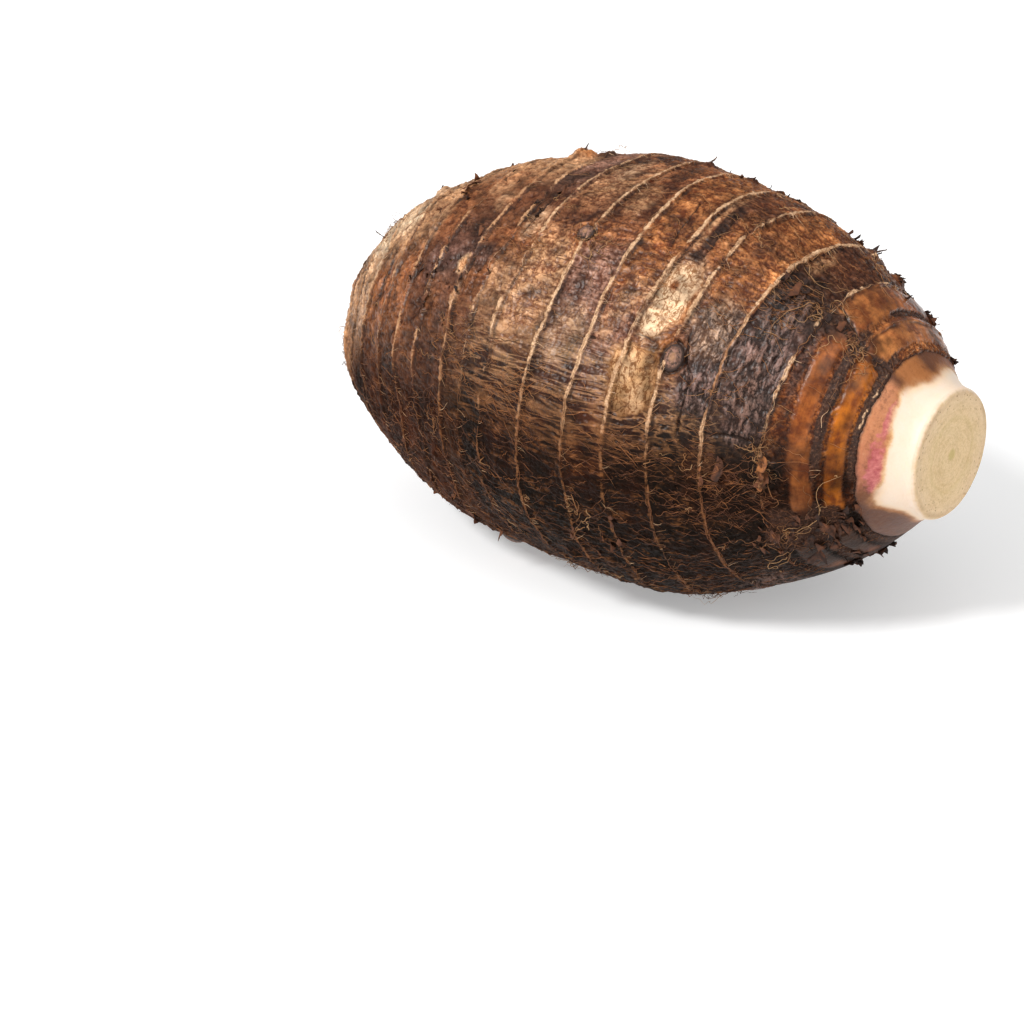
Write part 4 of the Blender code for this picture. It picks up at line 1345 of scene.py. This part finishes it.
def skin_material(colours):
    """The painted colour, with painted shade in the creases and painted light on the crests of the relief,
    varied by fine noise, and over it the rungs, worn spots with fine scratches, leathery skin, sheath
    remains, the pale scar lines and the painted shade of the hollows."""
    g = Graph("taro_skin")
    lay = g.vector_mark("lay")
    lengthwise = g.stretched(g.bent(lay, 160.0, 0.0014), (0.18, 1.0, 1.0))
    grain = g.noise(lengthwise, 1500.0, 5.0, 0.65)
    speckle = g.noise(lay, 1500.0, 4.0, 0.65)
    mottle = g.noise(g.bent(lay, 90.0, 0.004), 260.0, 7.0, 0.68)
    weave = g.noise(g.stretched(g.bent(lay, 200.0, 0.0014), (1.0, 0.35, 0.35)), 1100.0, 4.0, 0.65)
    pits = g.noise(g.bent(lay, 400.0, 0.001), 700.0, 3.0, 0.6).eased(0.42, 0.3)
    hairs = g.noise(lengthwise, 2700.0, 3.0, 0.7).eased(0.6, 0.74)

    crest = g.mark("crest")
    rear = g.mark("rear")
    # Painted light and shade: the crest mark pales the folds and darkens the creases, with noise of the
    # skin's own tone.
    value = crest * (0.6 - rear * 0.2) + (mottle - 0.5) * 2.6 + (grain - 0.5) * 2.0
    value = value + (speckle - 0.5) * 1.8 + rear * 0.35
    base = g.vector_mark("paint")
    darker = g.tinted(base, (0.26, 0.155, 0.11))
    lighter = g.vector_math("MULTIPLY_ADD", base, (1.65, 1.9, 2.15), (0.05, 0.034, 0.026))
    colour = g.mixed(value.eased(0.6, -0.9), base, darker)
    colour = g.mixed(value.eased(0.3, 1.6), colour, lighter)
    # Painted shade in the pits and in the creases of the bump relief.
    colour = g.mixed(pits * 0.5, colour, darker)
    creases = g.wrinkles(lay, 230.0, (0.75, 1.0, 1.0), 0.035) * mottle.eased(0.38, 0.55)
    fine_creases = g.wrinkles(lay, 620.0, (0.8, 1.0, 1.0), 0.05) * mottle.eased(0.6, 0.42)
    creases = (creases + fine_creases).clamped() * (1 - rear * 0.5)
    colour = g.mixed(creases * 0.8, colour, g.tinted(base, (0.2, 0.11, 0.08)))
    colour = g.mixed(hairs * crest.eased(-0.6, 0.8) * 0.4, colour, colours.pale_fibre)

    side = g.mark("side")
    drawn_out = g.stretched(g.bent(lay, 60.0, 0.003), (0.05, 1.0, 1.0))
    combed = (g.noise(drawn_out, 640.0, 2.0, 0.5) - 0.5).math("ABSOLUTE").eased(0.07, 0.01)
    combed = combed * (mottle * 1.6 + 0.1)
    rungs = (g.mark("rungs") * (grain + 0.35) + side * combed).clamped()
    # Painted shade low on the sides, between the pale rungs.
    colour = g.mixed(side * (1 - rungs), colour, darker)
    low = g.mark("low")
    rung_colour = g.mixed(speckle.eased(0.3, 0.7), lighter, colours.pale_fibre)
    rung_share = rungs * (0.92 - low * 0.92 + low * mottle.eased(0.5, 0.64) * 0.26)
    colour = g.mixed(rung_share, colour, g.mixed(low * 0.9, rung_colour, colours.gold))

    thin = g.wrinkles(lay, 420.0, (1.0, 0.5, 0.5), 0.05) * mottle.eased(0.35, 0.55)
    thin = (thin + g.wrinkles(lay, 150.0, (1.0, 0.8, 0.8), 0.02) * 0.8).clamped()
    worn_tone = ((mottle - 0.5) * 4.4 + (speckle - 0.5) * 2.4 - thin * 1.1 + 0.8).eased(-0.2, 1.1)
    worn_colour = g.mixed(worn_tone, g.tinted(base, (0.45, 0.3, 0.2)), g.tinted(base, (1.15, 1.12, 1.12)))
    worn = (g.mark("worn") * ((mottle - 0.5) * 4.4 + 1.05)).clamped()
    worn_colour = g.mixed(g.mark("worn").eased(0.98, 0.45) * 0.8, worn_colour, colours.worn_dark)
    colour = g.mixed(worn, colour, worn_colour)

    leather = g.mark("leather")
    # Painted shade in the leathery creases and a painted sheen on its folds, from the crest mark and noise.
    leather_tone = crest * 0.7 + (weave - 0.5) * 2.4 + (mottle - 0.5) * 1.6 + (speckle - 0.5) * 1.5
    leather_tone = (leather_tone - thin * 0.8 + 0.6).eased(-0.25, 1.35)
    leather_pale = g.mixed(0.4, g.tinted(base, (1.4, 1.6, 1.85)), colours.leather_light)
    leather_crease = g.mixed(0.7, colours.leather_dark, g.tinted(base, (0.2, 0.15, 0.14)))
    leather_colour = g.mixed(leather_tone, leather_crease, leather_pale)
    colour = g.mixed(leather * 0.9, colour, leather_colour)

    amber = g.mark("amber")
    veins = g.noise(g.stretched(g.bent(lay, 120.0, 0.002), (0.6, 1.0, 1.0)), 190.0, 6.0, 0.6)
    streaks = g.noise(g.stretched(lay, (1.0, 0.12, 0.12)), 700.0, 4.0, 0.6)
    amber_tone = (veins * 2.4 + (streaks - 0.5) * 0.9 + (mottle - 0.5) * 0.8 - 0.65).eased(0.1, 1.0)
    amber_colour = g.mixed(amber_tone, g.tinted(base, (0.4, 0.27, 0.22)), g.tinted(base, (1.3, 1.3, 1.2)))
    # Painted shade in the pits.
    amber_colour = g.mixed(pits * 0.25, amber_colour, g.tinted(base, (0.1, 0.07, 0.07)))
    colour = g.mixed(amber * 0.9, colour, amber_colour)
    torn = g.mark("torn")
    torn_tone = (grain + (speckle - 0.5)).eased(0.45, 0.85)
    colour = g.mixed(torn * 0.93, colour, g.mixed(torn_tone, colours.torn_dark, colours.torn_light))

    line = g.mark("line") * ((grain - 0.5) * 1.6 + (mottle - 0.5) * 1.4 + (speckle - 0.5) * 1.2 + 1.0)
    line_tone = (mottle * 0.8 + weave * 0.6 + (speckle - 0.5) * 1.2).eased(0.35, 1.0)
    line_colour = g.mixed(line_tone, colours.line_dark, colours.line_light)
    line_colour = g.mixed((rear * 0.6 + leather * 0.9).clamped() * 0.8, line_colour, colours.gold)
    line_colour = g.mixed(low * 0.9, line_colour, colours.gold)
    colour = g.mixed(line.eased(0.15, 0.75) * (0.95 - low * 0.5), colour, line_colour)
    # Painted shade in the ditches, cracks, bud sockets and the strip past each scar.
    hollow = (g.mark("hollow") * (0.6 + mottle * 0.8)).eased(0.3, 1.05)
    colour = g.mixed(hollow * 0.88, colour, colours.hollow)

    roughness = 0.34 + (speckle - 0.5) * 0.4 - leather * 0.07 - amber * 0.12 + rear * 0.1
    roughness = roughness + worn * 0.16 + line * 0.25 + low * 0.2
    relief = grain * 0.9 + speckle * 0.55 + mottle * 0.5 - creases * 1.2 - pits * 0.5
    relief = relief + leather * (weave * 2.0 - thin * 0.7) - worn * thin * 0.8
    relief = relief * (1 - amber * 0.8) + line * grain * 0.8 + rungs * 0.6
    coat = (0.34 + amber * 0.15 + leather * 0.06) * (1 - low) * (1 - worn * 0.8)
    g.feed(g.shader.inputs["Coat Weight"], coat)
    constants = {"Coat Roughness": 0.37, "Specular IOR Level": 0.12, "Specular Tint": (1.0, 0.74, 0.56, 1.0)}
    return g.finish(colour, roughness, relief, 0.00016, 0.8, constants)


def neck_material(colours):
    """Painted thin skin with a magenta blush, then cream flesh past the peeled edge, and a beige cut with
    rings."""
    g = Graph("taro_neck")
    lay = g.vector_mark("lay")
    cloud = g.noise(lay, 150.0, 5.0, 0.6)
    streaks = g.noise(g.stretched(lay, (0.2, 1.0, 1.0)), 800.0, 5.0, 0.65)
    bands = g.noise(g.stretched(lay, (1.0, 0.2, 0.2)), 600.0, 4.0, 0.6)
    specks = g.noise(lay, 1400.0, 4.0, 0.65)
    past = g.mark("past_peel")
    on_face = g.mark("on_face")
    middle = g.mark("middle")
    golden = g.mark("golden")

    wall = g.mixed((past + (cloud - 0.5) * 4.0).eased(-0.2, 1.6), colours.flesh_edge, colours.flesh)
    wall = g.mixed((cloud + (specks - 0.5) * 0.3).eased(0.42, 0.8) * 0.5, wall, colours.flesh_warm)
    base = g.vector_mark("paint")
    tone = (streaks - 0.5) * 1.6 + (bands - 0.5) * 1.2 + (specks - 0.5) * 1.2 + (cloud - 0.5)
    thin_skin = g.mixed(tone.eased(0.1, -0.9), base, g.tinted(base, (0.4, 0.33, 0.3)))
    thin_skin = g.mixed(tone.eased(0.0, 1.0) * (0.6 - golden * 0.5), thin_skin, colours.neck_pale)
    blush = (g.mark("blush") * (0.2 + streaks * 1.6) + (cloud - 0.5) * 0.9).eased(0.15, 0.8)
    blush_tone = (streaks * 0.7 + cloud * 0.5).eased(0.4, 0.8)
    thin_skin = g.mixed(blush * 0.85, thin_skin, g.mixed(blush_tone, colours.blush, colours.blush_pale))
    thin_skin = g.mixed(past.eased(-1.6, 0.2) * (1 - blush) * 0.35, thin_skin, colours.gold)
    # Painted shade where the neck meets the skin.
    thin_skin = g.mixed(g.mark("hollow") * 0.85, thin_skin, colours.torn_dark)
    golden_share = golden * (past + (cloud - 0.5) * 2.0).eased(3.4, 0.0) * 0.8
    wall = g.mixed(golden_share, wall, g.mixed(past.eased(0.6, 2.2), colours.gold, colours.flesh_edge))
    wall = g.mixed((past + (streaks - 0.5) * 1.7 + (cloud - 0.5) * 4.0).eased(1.2, -0.9), wall, thin_skin)

    ring_tone = (g.mark("rings") * 0.06 + cloud * 0.9 + (specks - 0.5) * 1.6 + 0.15).eased(0.1, 0.95)
    cut = g.mixed(ring_tone, colours.cut_dark, colours.cut)
    ring_line = middle.eased(0.50, 0.56) * middle.eased(0.64, 0.58)
    cut = g.mixed(ring_line * (cloud * 0.2), cut, colours.cut_heart)
    cut = g.mixed((middle + (cloud - 0.5) * 0.3).eased(0.55, 0.95) * 0.35, cut, colours.flesh_warm)
    dots = g.scattered(lay, 620.0).eased(0.3, 0.14)
    cut = g.mixed(dots * middle.eased(0.5, 0.85) * specks.eased(0.42, 0.52) * 0.85, cut, colours.cut_speck)
    rim = middle.eased(0.86, 0.95) * middle.eased(1.03, 0.97) * cloud.eased(0.35, 0.65)
    cut = g.mixed(rim * 0.45, cut, colours.cut_speck)
    cut = g.mixed(middle.eased(0.12, 0.05) * 0.6, cut, colours.cut_heart)
    colour = g.mixed(on_face, wall, cut)
    roughness = 0.42 + (cloud - 0.5) * 0.3 + on_face * 0.18 + (specks - 0.5) * 0.3
    relief = streaks * 0.4 + specks * 0.6 + g.mark("rings") * 0.05
    constants = {
        "Subsurface Weight": 0.3,
        "Subsurface Radius": (0.9, 0.6, 0.35),
        "Subsurface Scale": 0.0025,
        "Specular IOR Level": 0.32,
    }
    return g.finish(colour, roughness, relief, 0.00025, 0.6, constants)


def bud_material(colours):
    """Grey-brown scales with paler edges round a pinkish tan tip."""
    g = Graph("taro_bud")
    lay = g.vector_mark("lay")
    grain = g.noise(lay, 1500.0, 5.0, 0.65)
    r = g.mark("r")
    tone = (g.mark("step") * 0.8 + (grain - 0.5) * 5.0 + 0.25).eased(-0.1, 1.1)
    colour = g.mixed(tone, colours.black, colours.grey)
    colour = g.mixed((r + (grain - 0.5) * 0.9).eased(0.45, 0.1) * 0.75, colour, colours.tan)
    # Painted shade round the bud's foot, where it sinks into the skin.
    colour = g.mixed((r + (grain - 0.5) * 0.4).eased(0.62, 0.92) * 0.95, colour, colours.hollow)
    return g.finish(colour, 0.5 + (grain - 0.5) * 0.5, grain, 0.0005, 0.8, {"Specular IOR Level": 0.4})


def fibre_material(name, dark, middle, pale, roughness):
    """Dry fibres, each of its own tint, darker in places along it."""
    g = Graph(name)
    tint = g.mark("tint")
    coordinates = g.node("ShaderNodeTexCoord", {}, {}).outputs["Object"]
    blotch = g.noise(coordinates, 420.0, 3.0, 0.6)
    tone = tint + (blotch - 0.5) * 1.1
    colour = g.mixed(tone.eased(0.1, 0.55), dark, middle)
    colour = g.mixed(tone.eased(0.5, 1.0), colour, pale)
    roughness = roughness + (blotch - 0.5) * 0.2
    return g.finish(colour, roughness, blotch, 0.0002, 0.4, {"Specular IOR Level": 0.35})


def painted(obj, material):
    """Gives a finished piece its material and its body."""
    obj.data.materials.append(material)
    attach(obj, "root")
    return obj


def tones_of(colours):
    """The colours by name, for painting."""
    return {key: tuple(getattr(colours, key)) for key in colours.__annotations__}


def colour_property(name, description, default):
    words = {"name": name, "description": description}
    return FloatVectorProperty(**words, default=default, size=3, min=0, max=1, subtype="COLOR")


def length_property(name, description, default):
    words = {"name": name, "description": description}
    return FloatProperty(**words, default=default, min=0, unit="LENGTH", subtype="DISTANCE")


def angle_property(name, description, degrees):
    return FloatProperty(name=name, description=description, default=math.radians(degrees), subtype="ANGLE")


def strength_property(name, description, default):
    return FloatProperty(name=name, description=description, default=default, min=0, subtype="UNSIGNED")


def count_property(name, description, default):
    return IntProperty(name=name, description=description, default=default, min=1)


class TaroShape(bpy.types.PropertyGroup):
    """Sizes of the skin's relief and of the fibres."""

    groove_depth: length_property("Groove depth", "Depth of the ditch past each leaf scar", 0.24 * MM)
    crease_depth: length_property("Crease depth", "Depth of the creases in the bands", 0.62 * MM)
    pleat_depth: length_property("Pleat depth", "Height of the lengthwise pleats", 0.45 * MM)
    wrinkle_depth: length_property("Wrinkle depth", "Height of the wrinkles on the leathery skin", 1.5 * MM)
    cut_slant: FloatProperty(name="Cut slant", description="How far the cut leans, as a slope", default=0.045)
    fibre_width: length_property("Fibre width", "Usual width of a fibre on the skin", 0.14 * MM)
    thread_width: length_property("Thread width", "Usual width of a root thread", 0.2 * MM)
    band_fibre_count: count_property("Band fibres", "Fibres along the bands", 3600)
    fringe_count: count_property("Fringe fibres", "Fibres tried along the scars", 9000)
    strand_count: count_property("Scar strands", "Long fibres tried round the scars", 2200)
    thread_count: count_property("Loose threads", "Root threads outside the tufts", 110)


class TaroColours(bpy.types.PropertyGroup):
    """Colours of the skin, the neck and the fibres."""

    tan: colour_property("Tan", "Dry light skin", (0.40, 0.205, 0.10))
    cream: colour_property("Cream", "The palest worn skin", (0.60, 0.42, 0.26))
    honey: colour_property("Honey", "Tan worn skin", (0.42, 0.235, 0.105))
    dry: colour_property("Dry", "The palest skin of the rear", (0.52, 0.305, 0.17))
    straw: colour_property("Straw", "The lightest dry skin", (0.48, 0.25, 0.12))
    brown: colour_property("Brown", "Usual skin", (0.22, 0.078, 0.028))
    gold: colour_property("Gold", "Fibrous golden skin", (0.34, 0.125, 0.038))
    umber: colour_property("Umber", "Dark skin", (0.11, 0.038, 0.016))
    black: colour_property("Black", "The darkest skin", (0.034, 0.0135, 0.007))
    grey: colour_property("Grey", "Purplish grey skin", (0.27, 0.135, 0.09))
    plum: colour_property("Plum", "Purplish black skin", (0.085, 0.042, 0.032))
    orange: colour_property("Orange", "Orange sheath remains", (0.23, 0.066, 0.013))
    amber: colour_property("Amber", "Bright sheath remains", (0.25, 0.07, 0.005))
    red: colour_property("Red brown", "Dark sheath remains", (0.16, 0.048, 0.011))
    rose: colour_property("Rose", "Pinkish skin of the neck", (0.40, 0.135, 0.07))
    neck_tan: colour_property("Neck tan", "Tan skin of the neck", (0.50, 0.20, 0.09))
    pale_fibre: colour_property("Pale fibre", "Dry fibres in the skin", (0.42, 0.22, 0.095))
    worn_dark: colour_property("Worn dark", "Lines in the worn spots", (0.25, 0.11, 0.038))
    # The two leather colours paint shade in the creases and a sheen on the folds of the leathery skin.
    leather_dark: colour_property("Leather dark", "Creases of the leathery skin", (0.016, 0.008, 0.006))
    leather_light: colour_property("Leather light", "Folds of the leathery skin", (0.46, 0.275, 0.215))
    torn_dark: colour_property("Torn dark", "Dark torn membrane", (0.030, 0.013, 0.009))
    torn_light: colour_property("Torn light", "Paler fibres of the membrane", (0.15, 0.07, 0.04))
    line_dark: colour_property("Line dark", "Darker part of the scar lines", (0.34, 0.17, 0.075))
    line_light: colour_property("Line light", "Paler part of the scar lines", (0.80, 0.52, 0.31))
    # The hollow colour paints shade at the bottom of ditches, cracks and bud sockets.
    hollow: colour_property("Hollow", "Bottom of the ditches and cracks", (0.020, 0.009, 0.006))
    flesh: colour_property("Flesh", "Cream of the peeled neck", (0.76, 0.61, 0.48))
    flesh_warm: colour_property("Warm flesh", "Warmer clouds in the flesh", (0.70, 0.52, 0.36))
    flesh_edge: colour_property("Flesh edge", "Flesh near the skin and the rim", (0.72, 0.44, 0.19))
    neck_pale: colour_property("Neck pale", "Paler streaks on the neck", (0.66, 0.36, 0.20))
    blush: colour_property("Blush", "Magenta blush on the neck", (0.33, 0.05, 0.065))
    blush_pale: colour_property("Pale blush", "Paler part of the blush", (0.60, 0.19, 0.18))
    cut: colour_property("Cut", "Beige of the cut face", (0.72, 0.53, 0.30))
    cut_dark: colour_property("Cut dark", "Darker rings of the cut face", (0.52, 0.345, 0.16))
    cut_speck: colour_property("Cut speck", "Specks round the cut face", (0.30, 0.17, 0.07))
    cut_heart: colour_property("Cut heart", "Spot in the middle of the cut", (0.42, 0.32, 0.08))
    thread_dark: colour_property("Thread dark", "Darkest root threads", (0.05, 0.02, 0.009))
    thread_middle: colour_property("Thread middle", "Usual root threads", (0.26, 0.105, 0.034))
    thread_pale: colour_property("Thread pale", "Palest root threads", (0.42, 0.23, 0.10))


class TaroStage(bpy.types.PropertyGroup):
    """The floor, the lights and the camera."""

    floor_colour: colour_property("Floor", "Colour of the floor", (0.72, 0.72, 0.72))
    floor_glow: strength_property("Floor glow", "Light the floor gives off, which keeps shadows pale", 0.34)
    world_strength: strength_property("Sky", "Strength of the white surroundings", 0.22)
    top_strength: strength_property("Top light", "Strength of the very wide light", 1.35)
    key_strength: strength_property("Key light", "Strength of the main light", 2.8)
    fill_strength: strength_property("Fill light", "Strength of the light on the cut", 0.8)
    top_width: angle_property("Top width", "How wide the top light looks", 95)
    key_width: angle_property("Key width", "How wide the main light looks", 14)
    fill_width: angle_property("Fill width", "How wide the fill light looks", 45)
    azimuth: angle_property("Azimuth", "Camera's angle round the corm", 37.2)
    elevation: angle_property("Elevation", "Camera's height angle", 25)
    distance: length_property("Distance", "From the camera to the corm's middle", 4.09 * LENGTH)
    aside: length_property("Aside", "How far right of the view's middle the corm lies", 0.1796 * LENGTH)
    above: length_property("Above", "How far over the view's middle the corm lies", 0.2029 * LENGTH)
    field: angle_property("Field of view", "The view's full angle", 20)


class TARO_OT_skin(bpy.types.Operator):
    """Make the ringed skin, in six drums that meet in the scars' ditches"""

    bl_idname = "taro.skin"
    bl_label = "Skin"

    def execute(self, context):
        shape = context.scene.taro_shape
        tones = tones_of(context.scene.taro_colours)
        material = skin_material(context.scene.taro_colours)
        first = None
        for name, last, rows, columns in DRUMS:
            piece = skin_piece(name, first, last, rows, columns, shape, tones)
            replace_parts(painted(piece, material), "corm")
            first = last
        return {"FINISHED"}


class TARO_OT_neck(bpy.types.Operator):
    """Make the trimmed neck and its cut face"""

    bl_idname = "taro.neck"
    bl_label = "Neck"

    def execute(self, context):
        colours = context.scene.taro_colours
        piece = neck_piece(context.scene.taro_shape, tones_of(colours))
        painted(piece, neck_material(colours))
        return {"FINISHED"}


class TARO_OT_buds(bpy.types.Operator):
    """Make the side buds"""

    bl_idname = "taro.buds"
    bl_label = "Side buds"

    def execute(self, context):
        material = bud_material(context.scene.taro_colours)
        painted(bud_pieces(), material)
        return {"FINISHED"}


class TARO_OT_fibres(bpy.types.Operator):
    """Make the fine fibres of the bands and the scars"""

    bl_idname = "taro.fibres"
    bl_label = "Fibres"

    def execute(self, context):
        shape, colours = context.scene.taro_shape, context.scene.taro_colours
        dull = fibre_material("band_fibre", colours.umber, colours.gold, colours.pale_fibre, 0.65)
        pale = fibre_material("scar_fibre", colours.brown, colours.line_dark, colours.line_light, 0.65)
        painted(band_fibres(shape), dull)
        painted(scar_fringe(shape), pale)
        painted(scar_strands(shape), pale)
        return {"FINISHED"}


class TARO_OT_threads(bpy.types.Operator):
    """Make the root threads and the twigs on the knobs"""

    bl_idname = "taro.threads"
    bl_label = "Threads and twigs"

    def execute(self, context):
        shape, colours = context.scene.taro_shape, context.scene.taro_colours
        tones = colours.thread_dark, colours.thread_middle, colours.thread_pale
        dry = fibre_material("root_thread", *tones, 0.6)
        painted(root_threads(shape), dry)
        painted(twigs(shape), dry)
        return {"FINISHED"}


class TARO_OT_shreds(bpy.types.Operator):
    """Make the torn flaps of dead skin"""

    bl_idname = "taro.shreds"
    bl_label = "Shreds"

    def execute(self, context):
        colours = context.scene.taro_colours
        dead = fibre_material("dead_skin", colours.hollow, colours.umber, colours.gold, 0.85)
        painted(skin_shreds(context.scene.taro_shape), dead)
        return {"FINISHED"}


class TARO_OT_stage(bpy.types.Operator):
    """Make the pale floor, the soft lights and the camera"""

    bl_idname = "taro.stage"
    bl_label = "Stage"

    def execute(self, context):
        stage = context.scene.taro_stage
        make_floor(stage)
        make_lights(stage)
        make_camera(stage)
        context.scene.view_settings.view_transform = "Standard"
        return {"FINISHED"}


def make_floor(stage):
    """A pale square that glows a little, far larger than the view, at the height on which the corm rests."""
    half = 3.0
    points = np.array([(-1, -1, 0), (1, -1, 0), (1, 1, 0), (-1, 1, 0)]) * half + (0, 0, LOW.z)
    floor = mesh_of("floor", points, [np.array([[0, 1, 2, 3]])])
    g = Graph("floor_white")
    place_on = g.node("ShaderNodeTexCoord", {}, {}).outputs["Object"]
    tone = g.noise(place_on, 6.0, 3.0)
    colour = g.mixed(tone, [c * 0.99 for c in stage.floor_colour], stage.floor_colour)
    glow = {"Emission Color": (1.0, 1.0, 1.0, 1.0), "Emission Strength": stage.floor_glow}
    floor.data.materials.append(g.finish(colour, 0.6 + tone * 0.1, constants=glow))


def soft_light(name, strength, softness, way):
    """A broad even light from far away in the given direction."""
    data = bpy.data.lights.new(name, "SUN")
    data.energy = strength
    data.angle = softness
    light = bpy.data.objects.new(name, data)
    light.rotation_mode = "QUATERNION"
    light.rotation_quaternion = (-way).to_track_quat("-Z", "Y")
    light.location = middle_of_corm() + way
    bpy.context.scene.collection.objects.link(light)
    return light


def facing(azimuth, elevation):
    """The unit vector from the corm towards a place at these angles round it."""
    level = math.cos(elevation)
    return Vector((math.sin(azimuth) * level, -math.cos(azimuth) * level, math.sin(elevation)))


def middle_of_corm():
    return Vector(((LOW.x + HIGH.x) / 2, AXIS[1], AXIS[2]))


def make_lights(stage):
    """Dim white surroundings, a very wide light above, a narrower key light high on the left and a weak
    fill on the right."""
    world = bpy.data.worlds.new("white_room")
    world.use_nodes = True
    world.node_tree.nodes["Background"].inputs["Color"].default_value = (1, 1, 1, 1)
    world.node_tree.nodes["Background"].inputs["Strength"].default_value = stage.world_strength
    bpy.context.scene.world = world
    # Strength, how wide it looks, and degrees right of the camera and above the floor.
    lights = {
        "top_light": (stage.top_strength, stage.top_width, -30, 72),
        "key_light": (stage.key_strength, stage.key_width, -52, 45),
        "fill_light": (stage.fill_strength, stage.fill_width, 48, 36),
    }
    for name, (strength, width, aside, above) in lights.items():
        way = facing(stage.azimuth + math.radians(aside), math.radians(above))
        soft_light(name, strength, width, way)


def make_camera(stage):
    """A long lens that looks past the corm, which lies up and right of the view's middle."""
    back = facing(stage.azimuth, stage.elevation)
    right = Vector((math.cos(stage.azimuth), math.sin(stage.azimuth), 0))
    up = back.cross(right)
    data = bpy.data.cameras.new("camera")
    data.angle = stage.field
    data.clip_start, data.clip_end = 0.01, 20
    camera = bpy.data.objects.new("camera", data)
    camera.location = middle_of_corm() + back * stage.distance - right * stage.aside - up * stage.above
    camera.rotation_mode = "QUATERNION"
    camera.rotation_quaternion = (-back).to_track_quat("-Z", "Y")
    bpy.context.scene.collection.objects.link(camera)
    bpy.context.scene.camera = camera


OPERATORS = (
    TARO_OT_stage, TARO_OT_skin, TARO_OT_neck, TARO_OT_buds, TARO_OT_fibres, TARO_OT_threads, TARO_OT_shreds,
)


class TARO_PT_panel(bpy.types.Panel):
    """Lists the corm's pieces and its sizes and colours"""

    bl_idname = "TARO_PT_panel"
    bl_label = "Taro Corm"
    bl_space_type = "VIEW_3D"
    bl_region_type = "UI"
    bl_category = "Taro"

    def draw(self, context):
        for operator in OPERATORS:
            self.layout.operator(operator.bl_idname)
        for group in (context.scene.taro_shape, context.scene.taro_colours, context.scene.taro_stage):
            box = self.layout.box()
            for key in group.__annotations__:
                box.prop(group, key)


CLASSES = (TaroShape, TaroColours, TaroStage, *OPERATORS, TARO_PT_panel)


def register():
    for item in CLASSES:
        bpy.utils.register_class(item)
    bpy.types.Scene.taro_shape = PointerProperty(type=TaroShape)
    bpy.types.Scene.taro_colours = PointerProperty(type=TaroColours)
    bpy.types.Scene.taro_stage = PointerProperty(type=TaroStage)


def unregister():
    for name in ("taro_stage", "taro_colours", "taro_shape"):
        delattr(bpy.types.Scene, name)
    for item in reversed(CLASSES):
        bpy.utils.unregister_class(item)


def main():
    register()
    bpy.ops.taro.stage()
    bpy.ops.taro.skin()
    bpy.ops.taro.neck()
    bpy.ops.taro.buds()
    bpy.ops.taro.fibres()
    bpy.ops.taro.threads()
    bpy.ops.taro.shreds()


if __name__ == "__main__":
    main()
